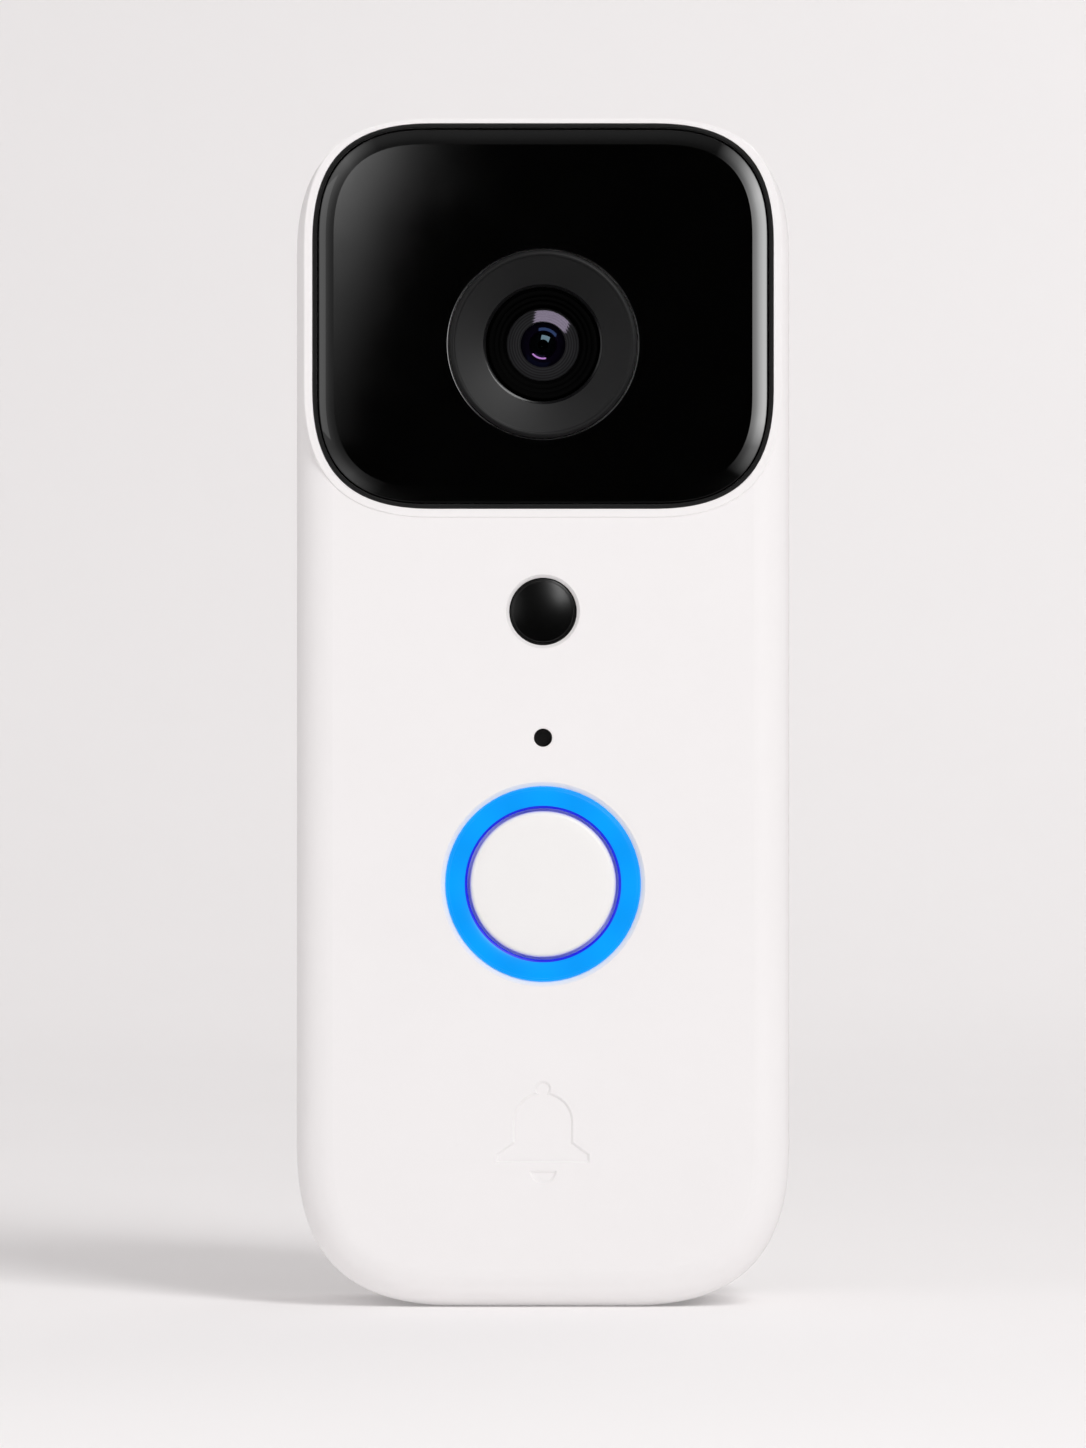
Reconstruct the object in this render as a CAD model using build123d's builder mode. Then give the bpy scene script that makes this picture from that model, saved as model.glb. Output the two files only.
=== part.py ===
"""Battery video doorbell, built as the assembly it comes apart into on a bench.

Millimetres. The origin is the middle of the base, +Z is up and the front faces -Y.
Depth stations are Y values that run from the visitor's side (negative) to the wall (positive).
"""

import os
from math import asin, cos, sin

from build123d import *

os.makedirs("parts", exist_ok=True)

# ---------------------------------------------------------------- driving dimensions
BODY_WIDTH = 54.0
BODY_HEIGHT = 130.0
TOP_REACH = 14.8  # how far along each side an upper corner's curve reaches
BOTTOM_REACH = 17.5
EASE = 0.69  # Bezier handle over reach: above 0.55 the corner eases in softer than an arc
CORNER_SHRINK = 1.214  # keeps an inset outline parallel through its corners
FRONT_EDGE_ROUND = 4.0
REAR_EDGE_ROUND = 2.0
WALL = 2.0
SEAM_CHAMFER = 0.25

# Depth stations of the housing
TRIM_FRONT = -14.0  # foremost point: the lens trim's lip
WINDOW_FRONT = -13.85
RIM_FRONT = -13.35  # low white rim round the camera window
SHELL_FRONT = -13.2
WINDOW_SEAT = -11.4
SHELL_INNER = -11.0
WINDOW_FLOOR_BACK = -9.6
SPLIT = 5.0  # plane where the two shells meet
BOSS_END = 4.0
REAR_INNER = 8.0
RECESS_FLOOR = 10.2
REAR_RIM = 13.7
WALL_FACE = 14.0  # back of the wall plate

# Camera window
WINDOW_WIDTH = 50.45
WINDOW_BOTTOM, WINDOW_TOP = 87.3, 129.45
WINDOW_REACH = 12.9
WINDOW_EDGE_ROUND = 1.3
WINDOW_BORDER = 1.75  # rolled border between the pane and the gasket
RIM_WIDTH = 0.95
GASKET_WIDTH = 0.5
WINDOW_GROOVE = 0.2  # width and depth of the groove beside the pane
FIT = 0.05  # gap between a piece and the seat it drops into

# Front features, as heights on the centre line
LENS_Z = 105.3
PIR_Z = 76.1
MIC_Z = 62.3
BUTTON_Z = 46.3
MARK_Z = 19.1
PIR_RADIUS = 3.65
MIC_HOLE_RADIUS = 1.0
RING_OUTER, RING_INNER = 10.65, 8.3
BUTTON_RADIUS = 8.0
MARK_DEPTH = 0.25

# Camera stack
TRIM_OUTER, TRIM_BORE = 10.3, 6.28
BARREL_RADIUS = 6.0
CAMERA_BORE = 8.0
IR_RING_RADIUS = 15.0

# Boards
BOARD_FRONT, BOARD_BACK = -6.5, -5.3
BOARD_HALF_WIDTH = 20.5
BOARD_BOTTOM, BOARD_TOP = 33.5, 86.0
IR_BOARD_FRONT, IR_BOARD_BACK = -8.6, -7.6
HOLDER_BACK = -6.4
CAMERA_BOARD_FRONT, CAMERA_BOARD_BACK = -1.0, 0.0
POWER_BOARD_FRONT, POWER_BOARD_BACK = 2.2, 3.4

# Fasteners: (x, z) spots for the M2.5 case screws and the M2 board screws
CASE_SPOTS = [(-17.0, 10.0), (17.0, 10.0), (-18.5, 120.0), (18.5, 120.0)]
BOARD_SPOTS = [(-17.5, 37.5), (17.5, 37.5), (-17.5, 82.0), (17.5, 82.0)]
CAMERA_SPOTS = [(-11.5, LENS_Z), (11.5, LENS_Z)]
POWER_SPOTS = [(-11.5, 17.0), (11.5, 30.0)]
CASE_SHANK, CASE_HEAD, CASE_HEAD_HEIGHT, CASE_LENGTH = 1.25, 2.3, 1.3, 11.4
SMALL_SHANK, SMALL_HEAD, SMALL_HEAD_HEIGHT, SMALL_LENGTH = 0.95, 1.8, 1.2, 4.0
CASE_BOSS, SMALL_BOSS = 2.8, 2.2
CASE_SCREW_SEAT = RECESS_FLOOR - 1.4
SMALL_PILOT = 3.2  # depth of the board screws' pilot holes

# Overlap of the two shells and the weather seal between them, as insets from the outline
SPIGOT = 3.0
SPIGOT_WALL = 1.3
SEAL_GROOVE = (0.7, 1.5)
SEAL = (0.75, 1.45)
SEAL_DEPTH = 0.6

# Wall plate and its lock
RECESS_INSET = 3.2
PLATE_INSET = 3.6
PLATE_BASE = 12.2
PLATE_FRONT = 10.5
PLATE_RIM = 1.6
PLATE_SCREW_Z = (38.0, 98.0)
PLATE_SCREW_RADIUS = 2.2
PLATE_SCREW_SINK = 4.3
PLATE_BOSS_FRONT = 10.8
CABLE_WINDOW_HALF = 11.8
CABLE_WINDOW = (13.0, 31.5)
HOOK_X, HOOK_HALF, HOOK_DEPTH = 10.0, 2.5, (10.6, 11.6)
LATCH_DEPTH = (10.6, 12.1)
LATCH_NOSE_HALF, LATCH_NOSE_TIP = 2.3, 2.2
LATCH_HALF, LATCH_BODY = 4.5, (5.4, 9.0)
LATCH_STOP = (12.0, 12.8)

# Rear connections
USB_Z = 18.0
FLAP_AXIS = (10.5, 14.1)  # (y, z) of the flap's hinge pin
FLAP_HALF, FLAP = 6.4, (14.95, 21.6)
FLAP_SEAT = 9.2
PIN_RADIUS, PIN_HALF = 0.4, 5.6
EAR_RADIUS, EAR_START, EAR_WIDTH = 0.75, 4.1, 1.5
KNUCKLE_HALF = 3.9
RESET_X = 9.4
TERMINAL_SPOTS = [(-6.5, 27.3), (6.5, 27.3)]

# Battery and speaker
BATTERY_Z = (35.0, 86.0)
BATTERY_DEPTH = (-2.2, 6.5)
SPEAKER_Y = -5.0

BASE = (Align.CENTER, Align.CENTER, Align.MIN)
HANGING = (Align.CENTER, Align.CENTER, Align.MAX)


# ---------------------------------------------------------------- shared helpers
def facing_front(y):
    """Plane at depth y whose normal points at the visitor; its axes are X and Z."""
    return Plane(origin=(0, y, 0), x_dir=(1, 0, 0), z_dir=(0, -1, 0))


def facing_wall(y):
    """Plane at depth y whose normal points at the wall; its x axis is -X."""
    return Plane(origin=(0, y, 0), x_dir=(-1, 0, 0), z_dir=(0, 1, 0))


def facing_side(x):
    """Plane at x whose normal is +X; its axes are Y and Z."""
    return Plane(origin=(x, 0, 0), x_dir=(0, 1, 0), z_dir=(1, 0, 0))


def on_axis(z, x=0.0):
    """Level plane at height z, for turned profiles drawn as (radius, y) from the axis at x."""
    return Plane(origin=(x, 0, z), x_dir=(1, 0, 0), z_dir=(0, 0, 1))


def depth_axis(x, z):
    return Axis((x, 0, z), (0, 1, 0))


def eased_outline(y, half_width, bottom, top, bottom_reach, top_reach):
    """Upright rounded rectangle at depth y, with corners that ease into the sides."""
    with BuildSketch(facing_front(y)) as outline:
        with BuildLine():
            for end, inward, reach in ((bottom, 1, bottom_reach), (top, -1, top_reach)):
                short = reach * (1 - EASE)
                Line((reach - half_width, end), (half_width - reach, end))
                for side in (-1, 1):
                    edge = side * half_width
                    Bezier(
                        (edge - side * reach, end),
                        (edge - side * short, end),
                        (edge, end + inward * short),
                        (edge, end + inward * reach),
                    )
            for side in (-1, 1):
                Line(
                    (side * half_width, bottom + bottom_reach),
                    (side * half_width, top - top_reach),
                )
        make_face()
    return outline.sketch


def housing_outline(y, inset=0.0):
    return eased_outline(
        y,
        BODY_WIDTH / 2 - inset,
        inset,
        BODY_HEIGHT - inset,
        BOTTOM_REACH - CORNER_SHRINK * inset,
        TOP_REACH - CORNER_SHRINK * inset,
    )


def window_outline(y, inset=0.0):
    reach = WINDOW_REACH - CORNER_SHRINK * inset
    return eased_outline(
        y,
        WINDOW_WIDTH / 2 - inset,
        WINDOW_BOTTOM + inset,
        WINDOW_TOP - inset,
        reach,
        reach,
    )


def turned(z, *profile, x=0.0):
    """Solid of revolution about the depth axis at (x, z) from (radius, y) points."""
    with BuildPart() as part:
        with BuildSketch(on_axis(z, x)):
            with BuildLine():
                Polyline(*profile, close=True)
            make_face()
        revolve(axis=depth_axis(x, z))
    return part.part


def lens_arc(apex, edge, radius):
    """Drawn arc of a lens face, square to the camera axis at its apex."""
    sphere = (radius**2 + (edge - apex) ** 2) / (2 * (edge - apex))
    half_angle = asin(radius / abs(sphere)) / 2
    middle = (abs(sphere) * sin(half_angle), apex + sphere * (1 - cos(half_angle)))
    return ThreePointArc((0, apex), middle, (radius, edge))


def lens(front_apex, front_edge, back_edge, back_apex, radius):
    """Glass element on the camera axis; a front apex ahead of its edge makes a dome."""
    with BuildPart() as element:
        with BuildSketch(on_axis(LENS_Z)):
            with BuildLine():
                lens_arc(front_apex, front_edge, radius)
                lens_arc(back_apex, back_edge, radius)
                Line((0, front_apex), (0, back_apex))
                Line((radius, front_edge), (radius, back_edge))
            make_face()
        revolve(axis=depth_axis(0, LENS_Z))
    return element.part


def screws(seat, spots, shank, length, head, head_height):
    """Cross-head pan screws whose heads stand on the seat plane."""
    with BuildPart(seat) as group:
        with Locations(*spots):
            Cylinder(head, head_height, align=BASE)
        ends = group.faces().filter_by(GeomType.PLANE).group_by(Axis.Y)
        fillet((ends[-1] if seat.z_dir.Y > 0 else ends[0]).edges(), head_height * 0.4)
        with Locations(*spots):
            Cylinder(shank, length, align=HANGING)
        with Locations(*[(x, z, head_height) for x, z in spots]):
            Box(head * 1.1, head * 0.22, head_height, mode=Mode.SUBTRACT)
            Box(head * 0.22, head * 1.1, head_height, mode=Mode.SUBTRACT)
    return group.part


def ribbon(points, thickness, centre, width, bend):
    """Flat cable along bent (y, z) points, with its thickness across them."""
    with BuildPart() as cable:
        with BuildSketch(facing_side(centre)):
            with BuildLine():
                FilletPolyline(*points, radius=bend)
            trace(line_width=thickness)
        extrude(amount=width / 2, both=True)
    return cable.part


def wires(routes, radius, bend):
    """Insulated wires swept along straight runs joined by arcs."""
    with BuildPart() as group:
        for route in routes:
            with BuildLine() as path:
                FilletPolyline(*route, radius=bend)
            with BuildSketch(Plane(origin=path.line @ 0, z_dir=path.line % 0)):
                Circle(radius)
            sweep(path=path.line)
    return group.part


def block(x, y, z):
    """Box between (low, high) limits along each axis."""
    return Pos(x[0], y[0], z[0]) * Box(
        x[1] - x[0],
        y[1] - y[0],
        z[1] - z[0],
        align=(Align.MIN, Align.MIN, Align.MIN),
        mode=Mode.PRIVATE,
    )


def save(part, name):
    part.label = name
    export_step(part, f"parts/{name}.step")


# ---------------------------------------------------------------- front shell
# Hollow behind the face; its own block so that its far edges can be rounded.
with BuildPart() as front_cavity:
    extrude(housing_outline(SHELL_INNER, WALL), amount=SHELL_INNER - SPLIT)
    fillet(front_cavity.faces().sort_by(Axis.Y)[0].edges(), FRONT_EDGE_ROUND - WALL)

# Thick floor and low rim for the camera window, cut to the housing's silhouette.
with BuildPart() as window_frame:
    extrude(window_outline(RIM_FRONT, -RIM_WIDTH), amount=RIM_FRONT - WINDOW_FLOOR_BACK)
    extrude(
        housing_outline(RIM_FRONT),
        amount=RIM_FRONT - WINDOW_FLOOR_BACK,
        mode=Mode.INTERSECT,
    )
    chamfer(window_frame.faces().sort_by(Axis.Y)[0].edges(), 0.12)

with BuildPart() as front_shell:
    extrude(housing_outline(SHELL_FRONT), amount=SHELL_FRONT - SPLIT)
    fillet(front_shell.faces().sort_by(Axis.Y)[0].edges(), FRONT_EDGE_ROUND)
    chamfer(front_shell.faces().sort_by(Axis.Y)[-1].edges(), SEAM_CHAMFER)
    add(front_cavity.part, mode=Mode.SUBTRACT)
    add(window_frame.part)
    # Pocket that the window and its gasket drop into.
    extrude(window_outline(RIM_FRONT), amount=RIM_FRONT - WINDOW_SEAT, mode=Mode.SUBTRACT)
    # Screw bosses for the rear shell and for the main board.
    for spots, boss, end in (
        (CASE_SPOTS, CASE_BOSS, BOSS_END),
        (BOARD_SPOTS, SMALL_BOSS, BOARD_FRONT),
    ):
        for x, z in spots:
            start = WINDOW_FLOOR_BACK if z > WINDOW_BOTTOM else SHELL_INNER
            with BuildSketch(facing_front(start)):
                with Locations((x, z)):
                    Circle(boss)
            extrude(amount=start - end)
    with Locations(facing_wall(BOSS_END)):
        with Locations(*CASE_SPOTS):
            Hole(CASE_SHANK + FIT, depth=7.0)
    with Locations(facing_wall(BOARD_FRONT)):
        with Locations(*BOARD_SPOTS):
            Hole(SMALL_SHANK + FIT, depth=SMALL_PILOT)
    # Pads that carry the infrared board and the camera.
    with BuildSketch(facing_front(WINDOW_FLOOR_BACK)):
        with Locations(*CAMERA_SPOTS):
            Circle(SMALL_BOSS)
    extrude(amount=WINDOW_FLOOR_BACK - IR_BOARD_FRONT)
    with Locations(facing_wall(IR_BOARD_FRONT)):
        with Locations(*CAMERA_SPOTS):
            Hole(SMALL_SHANK + FIT, depth=1.9)
    # Openings in the window floor: lens, infrared lamps and light sensor.
    with Locations(facing_front(WINDOW_SEAT)):
        with Locations((0, LENS_Z)):
            Hole(CAMERA_BORE)
            with PolarLocations(IR_RING_RADIUS, 4, start_angle=45):
                Hole(2.1)
        with Locations((0, LENS_Z + IR_RING_RADIUS)):
            Hole(1.0)
    # Openings in the face: motion sensor, microphone and button.
    with Locations(facing_front(SHELL_FRONT)):
        for z, radius in (
            (PIR_Z, PIR_RADIUS + FIT),
            (MIC_Z, MIC_HOLE_RADIUS),
            (BUTTON_Z, RING_OUTER + FIT),
        ):
            with Locations((0, z)):
                Hole(radius)
    for radius, bevel in (
        (PIR_RADIUS + FIT, 0.35),
        (MIC_HOLE_RADIUS, 0.12),
        (RING_OUTER + FIT, 0.5),
    ):
        mouth = [
            edge
            for edge in front_shell.edges().filter_by(GeomType.CIRCLE)
            if abs(edge.radius - radius) < 1e-3
            and abs(edge.center().Y - SHELL_FRONT) < 1e-3
        ]
        chamfer(mouth, bevel)
    # Sound slots for the speaker, in the underside.
    with BuildSketch(Plane.XY):
        with Locations((0, SPEAKER_Y)):
            with GridLocations(2.4, 1, 9, 1):
                SlotOverall(7.0, 1.2, rotation=90)
    extrude(amount=WALL + 1.0, mode=Mode.SUBTRACT)
    # Sunken bell mark near the foot: clapper, then dome with its flared lip and knob.
    with BuildSketch(facing_front(SHELL_FRONT)):
        with Locations((0, MARK_Z - 4.1)):
            Circle(1.5)
        with Locations((0, MARK_Z - 3.4)):
            Rectangle(4.0, 1.4, mode=Mode.SUBTRACT)
        with Locations((0, MARK_Z + 1.2)):
            Circle(3.3)
        with Locations((0, MARK_Z + 4.8)):
            Circle(0.9)
        with BuildLine():
            Polyline(
                (-3.3, MARK_Z + 1.2),
                (-3.3, MARK_Z - 1.0),
                (-5.1, MARK_Z - 2.3),
                (-5.1, MARK_Z - 3.3),
                (5.1, MARK_Z - 3.3),
                (5.1, MARK_Z - 2.3),
                (3.3, MARK_Z - 1.0),
                (3.3, MARK_Z + 1.2),
                close=True,
            )
        make_face()
    extrude(amount=-MARK_DEPTH, taper=45, mode=Mode.SUBTRACT)
save(front_shell.part, "front_shell")

# ---------------------------------------------------------------- rear shell
with BuildPart() as rear_shell:
    extrude(housing_outline(SPLIT), amount=SPLIT - REAR_RIM)
    fillet(rear_shell.faces().sort_by(Axis.Y)[-1].edges(), REAR_EDGE_ROUND)
    chamfer(rear_shell.faces().sort_by(Axis.Y)[0].edges(), SEAM_CHAMFER)
    # Spigot that slips inside the front shell, and the hollow behind it.
    extrude(housing_outline(SPLIT, WALL + 2 * FIT), amount=SPIGOT)
    extrude(
        housing_outline(SPLIT - SPIGOT, WALL + SPIGOT_WALL),
        amount=SPLIT - SPIGOT - REAR_INNER,
        mode=Mode.SUBTRACT,
    )
    # Recess that hides the wall plate.
    extrude(
        housing_outline(RECESS_FLOOR, RECESS_INSET),
        amount=RECESS_FLOOR - WALL_FACE,
        mode=Mode.SUBTRACT,
    )
    # Groove for the weather seal, in the shoulder.
    with BuildSketch(facing_front(SPLIT)):
        add(housing_outline(SPLIT, SEAL_GROOVE[0]))
        add(housing_outline(SPLIT, SEAL_GROOVE[1]), mode=Mode.SUBTRACT)
    extrude(amount=-SEAL_DEPTH - 2 * FIT, mode=Mode.SUBTRACT)
    # Sleeves for the case screws and standoffs for the power board.
    for spots, boss, end in (
        (CASE_SPOTS, CASE_BOSS, BOSS_END + FIT),
        (POWER_SPOTS, SMALL_BOSS, POWER_BOARD_BACK),
    ):
        with BuildSketch(facing_front(REAR_INNER)):
            with Locations(*spots):
                Circle(boss)
        extrude(amount=REAR_INNER - end)
    with Locations(facing_wall(RECESS_FLOOR)):
        with Locations(*CASE_SPOTS):
            CounterBoreHole(
                CASE_SHANK + 0.1,
                CASE_HEAD + 0.2,
                RECESS_FLOOR - CASE_SCREW_SEAT,
                depth=RECESS_FLOOR - BOSS_END,
            )
        with Locations(*TERMINAL_SPOTS):
            Hole(2.35, depth=2.3)
        with Locations((-RESET_X, USB_Z)):
            Hole(1.55, depth=2.3)
    with Locations(facing_front(POWER_BOARD_BACK)):
        with Locations(*POWER_SPOTS):
            Hole(SMALL_SHANK + FIT, depth=SMALL_PILOT)
    # Mouth for the charging plug and the flap's shallow seat round it.
    with BuildSketch(facing_wall(RECESS_FLOOR)):
        with Locations((0, USB_Z)):
            SlotOverall(9.6, 3.8)
    extrude(amount=-2.3, mode=Mode.SUBTRACT)
    seat_depth = (FLAP_SEAT, RECESS_FLOOR)
    add(block((-6.5, 6.5), seat_depth, (14.5, 21.85)), mode=Mode.SUBTRACT)
    add(block((-4.05, 4.05), seat_depth, (13.2, 14.7)), mode=Mode.SUBTRACT)
    # Ears for the flap's hinge pin and a barrier between the terminals.
    for side in (-1, 1):
        with BuildSketch(facing_side(side * (EAR_START + EAR_WIDTH / 2))):
            with Locations(FLAP_AXIS):
                Circle(EAR_RADIUS)
            with Locations((FLAP_AXIS[0] - 0.5, FLAP_AXIS[1])):
                Rectangle(1.0, 2 * EAR_RADIUS)
        extrude(amount=EAR_WIDTH / 2, both=True)
    with BuildSketch(facing_side(0)):
        with Locations(FLAP_AXIS):
            Circle(PIN_RADIUS + 0.03)
    extrude(amount=PIN_HALF + 2 * FIT, both=True, mode=Mode.SUBTRACT)
    add(block((-0.8, 0.8), (RECESS_FLOOR, 12.4), (24.0, 30.6)))
    # Pockets for the wall plate's hooks and for its latch, and the release hole.
    for x in (-HOOK_X, HOOK_X):
        pocket = (x - HOOK_HALF - 0.2, x + HOOK_HALF + 0.2)
        add(block(pocket, (RECESS_FLOOR, 11.8), (126.0, 127.8)), mode=Mode.SUBTRACT)
    latch_pocket = (-LATCH_NOSE_HALF - 0.1, LATCH_NOSE_HALF + 0.1)
    add(block(latch_pocket, (RECESS_FLOOR, 12.3), (2.0, 4.0)), mode=Mode.SUBTRACT)
    with Locations(Plane(origin=(0, 11.3, 0), z_dir=(0, 0, -1))):
        Hole(0.7, depth=2.5)
save(rear_shell.part, "rear_shell")

with BuildPart() as case_seal:
    with BuildSketch(facing_front(SPLIT + FIT)):
        add(housing_outline(SPLIT, SEAL[0]))
        add(housing_outline(SPLIT, SEAL[1]), mode=Mode.SUBTRACT)
    extrude(amount=-SEAL_DEPTH)
save(case_seal.part, "case_seal")

save(
    screws(
        facing_wall(CASE_SCREW_SEAT),
        CASE_SPOTS,
        CASE_SHANK,
        CASE_LENGTH,
        CASE_HEAD,
        CASE_HEAD_HEIGHT,
    ),
    "case_screws",
)

# ---------------------------------------------------------------- camera window
with BuildPart() as camera_window:
    extrude(
        window_outline(WINDOW_SEAT - FIT, GASKET_WIDTH + FIT),
        amount=WINDOW_SEAT - FIT - WINDOW_FRONT,
    )
    fillet(camera_window.faces().sort_by(Axis.Y)[0].edges(), WINDOW_EDGE_ROUND)
    # A fine groove parts the flat pane from its rolled border.
    with BuildSketch(facing_front(WINDOW_FRONT)):
        add(window_outline(WINDOW_FRONT, WINDOW_BORDER))
        add(window_outline(WINDOW_FRONT, WINDOW_BORDER + WINDOW_GROOVE), mode=Mode.SUBTRACT)
    extrude(amount=-WINDOW_GROOVE, mode=Mode.SUBTRACT)
    with Locations(facing_front(WINDOW_FRONT)):
        with Locations((0, LENS_Z)):
            Hole(TRIM_OUTER + 0.1)
save(camera_window.part, "camera_window")

with BuildPart() as window_gasket:
    with BuildSketch(facing_front(WINDOW_SEAT - FIT)):
        add(window_outline(WINDOW_SEAT, FIT))
        add(window_outline(WINDOW_SEAT, GASKET_WIDTH), mode=Mode.SUBTRACT)
    extrude(amount=WINDOW_SEAT - RIM_FRONT - 0.1)
    chamfer(window_gasket.faces().sort_by(Axis.Y)[0].edges(), 0.12)
save(window_gasket.part, "window_gasket")

# ---------------------------------------------------------------- camera
trim_profile = [
    (TRIM_OUTER, WINDOW_SEAT - FIT),
    (TRIM_OUTER, -13.8),
    (TRIM_OUTER - 0.2, TRIM_FRONT),
    (TRIM_OUTER - 0.5, TRIM_FRONT),
    (TRIM_OUTER - 0.7, -13.85),
    (TRIM_BORE + 0.15, -13.3),
    (TRIM_BORE, -13.15),
    (TRIM_BORE, -12.0),
    (8.4, -12.0),
    (8.4, WINDOW_SEAT - FIT),
]
save(turned(LENS_Z, *trim_profile), "lens_trim_ring")

# Stepped glare baffles lead from the barrel's front edge down to the glass.
barrel_profile = [
    (BARREL_RADIUS, -3.6),
    (BARREL_RADIUS, -12.7),
    (BARREL_RADIUS - 0.3, -13.0),
    (5.4, -13.0),
    (5.2, -12.75),
    (4.9, -12.75),
    (4.7, -12.45),
    (4.4, -12.45),
    (4.05, -12.2),
    (4.05, -10.3),
    (2.55, -10.3),
    (2.55, -8.1),
    (3.05, -8.1),
    (3.05, -3.6),
]
save(turned(LENS_Z, *barrel_profile), "lens_barrel")
save(lens(-12.1, -11.3, -10.35, -10.85, 4.0), "lens_front")
save(lens(-10.25, -9.9, -9.3, -9.1, 2.5), "lens_middle")
save(lens(-6.6, -6.0, -5.2, -5.4, 3.0), "lens_rear")
iris_profile = [(0.9, -8.9), (2.5, -8.9), (2.5, -8.5), (0.9, -8.5)]
save(turned(LENS_Z, *iris_profile), "lens_iris")

with BuildPart() as lens_holder:
    with BuildSketch(facing_wall(IR_BOARD_BACK)):
        with Locations((0, LENS_Z)):
            Circle(CAMERA_BORE - 0.6)
            SlotOverall(28.0, 6.0)
    extrude(amount=HOLDER_BACK - IR_BOARD_BACK)
    with BuildSketch(facing_wall(IR_BOARD_BACK)):
        with Locations((0, LENS_Z)):
            Circle(CAMERA_BORE - 0.6)
    extrude(amount=CAMERA_BOARD_FRONT - IR_BOARD_BACK - 1.0)
    with BuildSketch(facing_wall(-3.4)):
        with Locations((0, LENS_Z)):
            RectangleRounded(18.0, 18.0, 1.0)
    extrude(amount=CAMERA_BOARD_FRONT + 3.4)
    with BuildSketch(facing_wall(-2.7)):
        with Locations((0, LENS_Z)):
            RectangleRounded(15.0, 15.0, 1.0)
    extrude(amount=2.7, mode=Mode.SUBTRACT)
    with Locations(facing_front(IR_BOARD_BACK)):
        with Locations((0, LENS_Z)):
            Hole(BARREL_RADIUS + FIT)
        with Locations(*CAMERA_SPOTS):
            Hole(SMALL_SHANK + 0.1)
save(lens_holder.part, "lens_holder")

with BuildPart() as ir_cut_filter:
    with BuildSketch(facing_front(-2.65)):
        with Locations((0, LENS_Z)):
            RectangleRounded(13.0, 13.0, 1.0)
    extrude(amount=-0.3)
save(ir_cut_filter.part, "ir_cut_filter")

with BuildPart() as image_sensor:
    with BuildSketch(facing_front(CAMERA_BOARD_FRONT)):
        with Locations((0, LENS_Z)):
            Rectangle(8.4, 7.6)
    extrude(amount=0.9)
    with BuildSketch(facing_front(CAMERA_BOARD_FRONT - 0.9)):
        with Locations((0, LENS_Z)):
            Rectangle(7.0, 6.2)
    extrude(amount=0.2)
save(image_sensor.part, "image_sensor")

with BuildPart() as sensor_board:
    with BuildSketch(facing_front(CAMERA_BOARD_BACK)):
        with Locations((0, LENS_Z)):
            RectangleRounded(22.0, 22.0, 1.5)
    extrude(amount=CAMERA_BOARD_BACK - CAMERA_BOARD_FRONT)
save(sensor_board.part, "sensor_board")

with BuildPart() as ir_board:
    with BuildSketch(facing_front(IR_BOARD_BACK)):
        with Locations((0, LENS_Z + 0.7)):
            RectangleRounded(29.6, 33.0, 4.0)
        with Locations((0, LENS_Z)):
            Circle(CAMERA_BORE, mode=Mode.SUBTRACT)
        with Locations(*CAMERA_SPOTS):
            Circle(SMALL_SHANK + 0.1, mode=Mode.SUBTRACT)
    extrude(amount=IR_BOARD_BACK - IR_BOARD_FRONT)
save(ir_board.part, "ir_board")

with BuildPart() as ir_lamps:
    for angle in (45, 135, 225, 315):
        spot = Vector(IR_RING_RADIUS, 0).rotate(Axis.Z, angle)
        with BuildSketch(facing_front(IR_BOARD_FRONT)):
            with Locations((spot.X, LENS_Z + spot.Y)):
                Circle(1.8)
        extrude(amount=2.0)
    fillet(ir_lamps.faces().filter_by(GeomType.PLANE).group_by(Axis.Y)[0].edges(), 1.2)
save(ir_lamps.part, "ir_lamps")

with BuildPart() as light_sensor:
    with BuildSketch(facing_front(IR_BOARD_FRONT)):
        with Locations((0, LENS_Z + IR_RING_RADIUS)):
            Rectangle(2.0, 2.0)
    extrude(amount=0.8)
save(light_sensor.part, "light_sensor")

# ---------------------------------------------------------------- motion sensor
pir_profile = [
    (0, -13.75),
    (1.3, -13.68),
    (2.4, -13.45),
    (3.1, -13.15),
    (PIR_RADIUS - 0.1, -12.75),
    (PIR_RADIUS - 0.1, SHELL_INNER + FIT),
    (4.6, SHELL_INNER + FIT),
    (4.6, -10.2),
    (3.1, -10.2),
    (3.1, -12.3),
    (2.2, -12.7),
    (0, -12.95),
]
save(turned(PIR_Z, *pir_profile), "pir_lens")

with BuildPart() as pir_sensor:
    with BuildSketch(facing_front(BOARD_FRONT)):
        with Locations((0, PIR_Z)):
            Circle(4.6)
    extrude(amount=0.5)
    with BuildSketch(facing_front(BOARD_FRONT - 0.5)):
        with Locations((0, PIR_Z)):
            Circle(4.1)
    extrude(amount=2.9)
    fillet(pir_sensor.faces().sort_by(Axis.Y)[0].edges(), 0.4)
    with BuildSketch(facing_front(BOARD_FRONT - 3.4)):
        with Locations((0, PIR_Z)):
            Rectangle(3.9, 2.9)
    extrude(amount=-0.2, mode=Mode.SUBTRACT)
save(pir_sensor.part, "pir_sensor")

# ---------------------------------------------------------------- microphone
with BuildPart() as mic_mesh:
    with BuildSketch(facing_front(SHELL_INNER + FIT)):
        with Locations((0, MIC_Z)):
            Circle(2.3)
    extrude(amount=-0.2)
save(mic_mesh.part, "mic_mesh")

with BuildPart() as mic_boot:
    with BuildSketch(facing_front(-10.7)):
        with Locations((0, MIC_Z)):
            Circle(3.0)
            Circle(0.8, mode=Mode.SUBTRACT)
    extrude(amount=-4.15)
    with BuildSketch(facing_front(BOARD_FRONT)):
        with Locations((0, MIC_Z)):
            Rectangle(3.7, 2.9)
    extrude(amount=1.1, mode=Mode.SUBTRACT)
save(mic_boot.part, "mic_boot")

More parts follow.
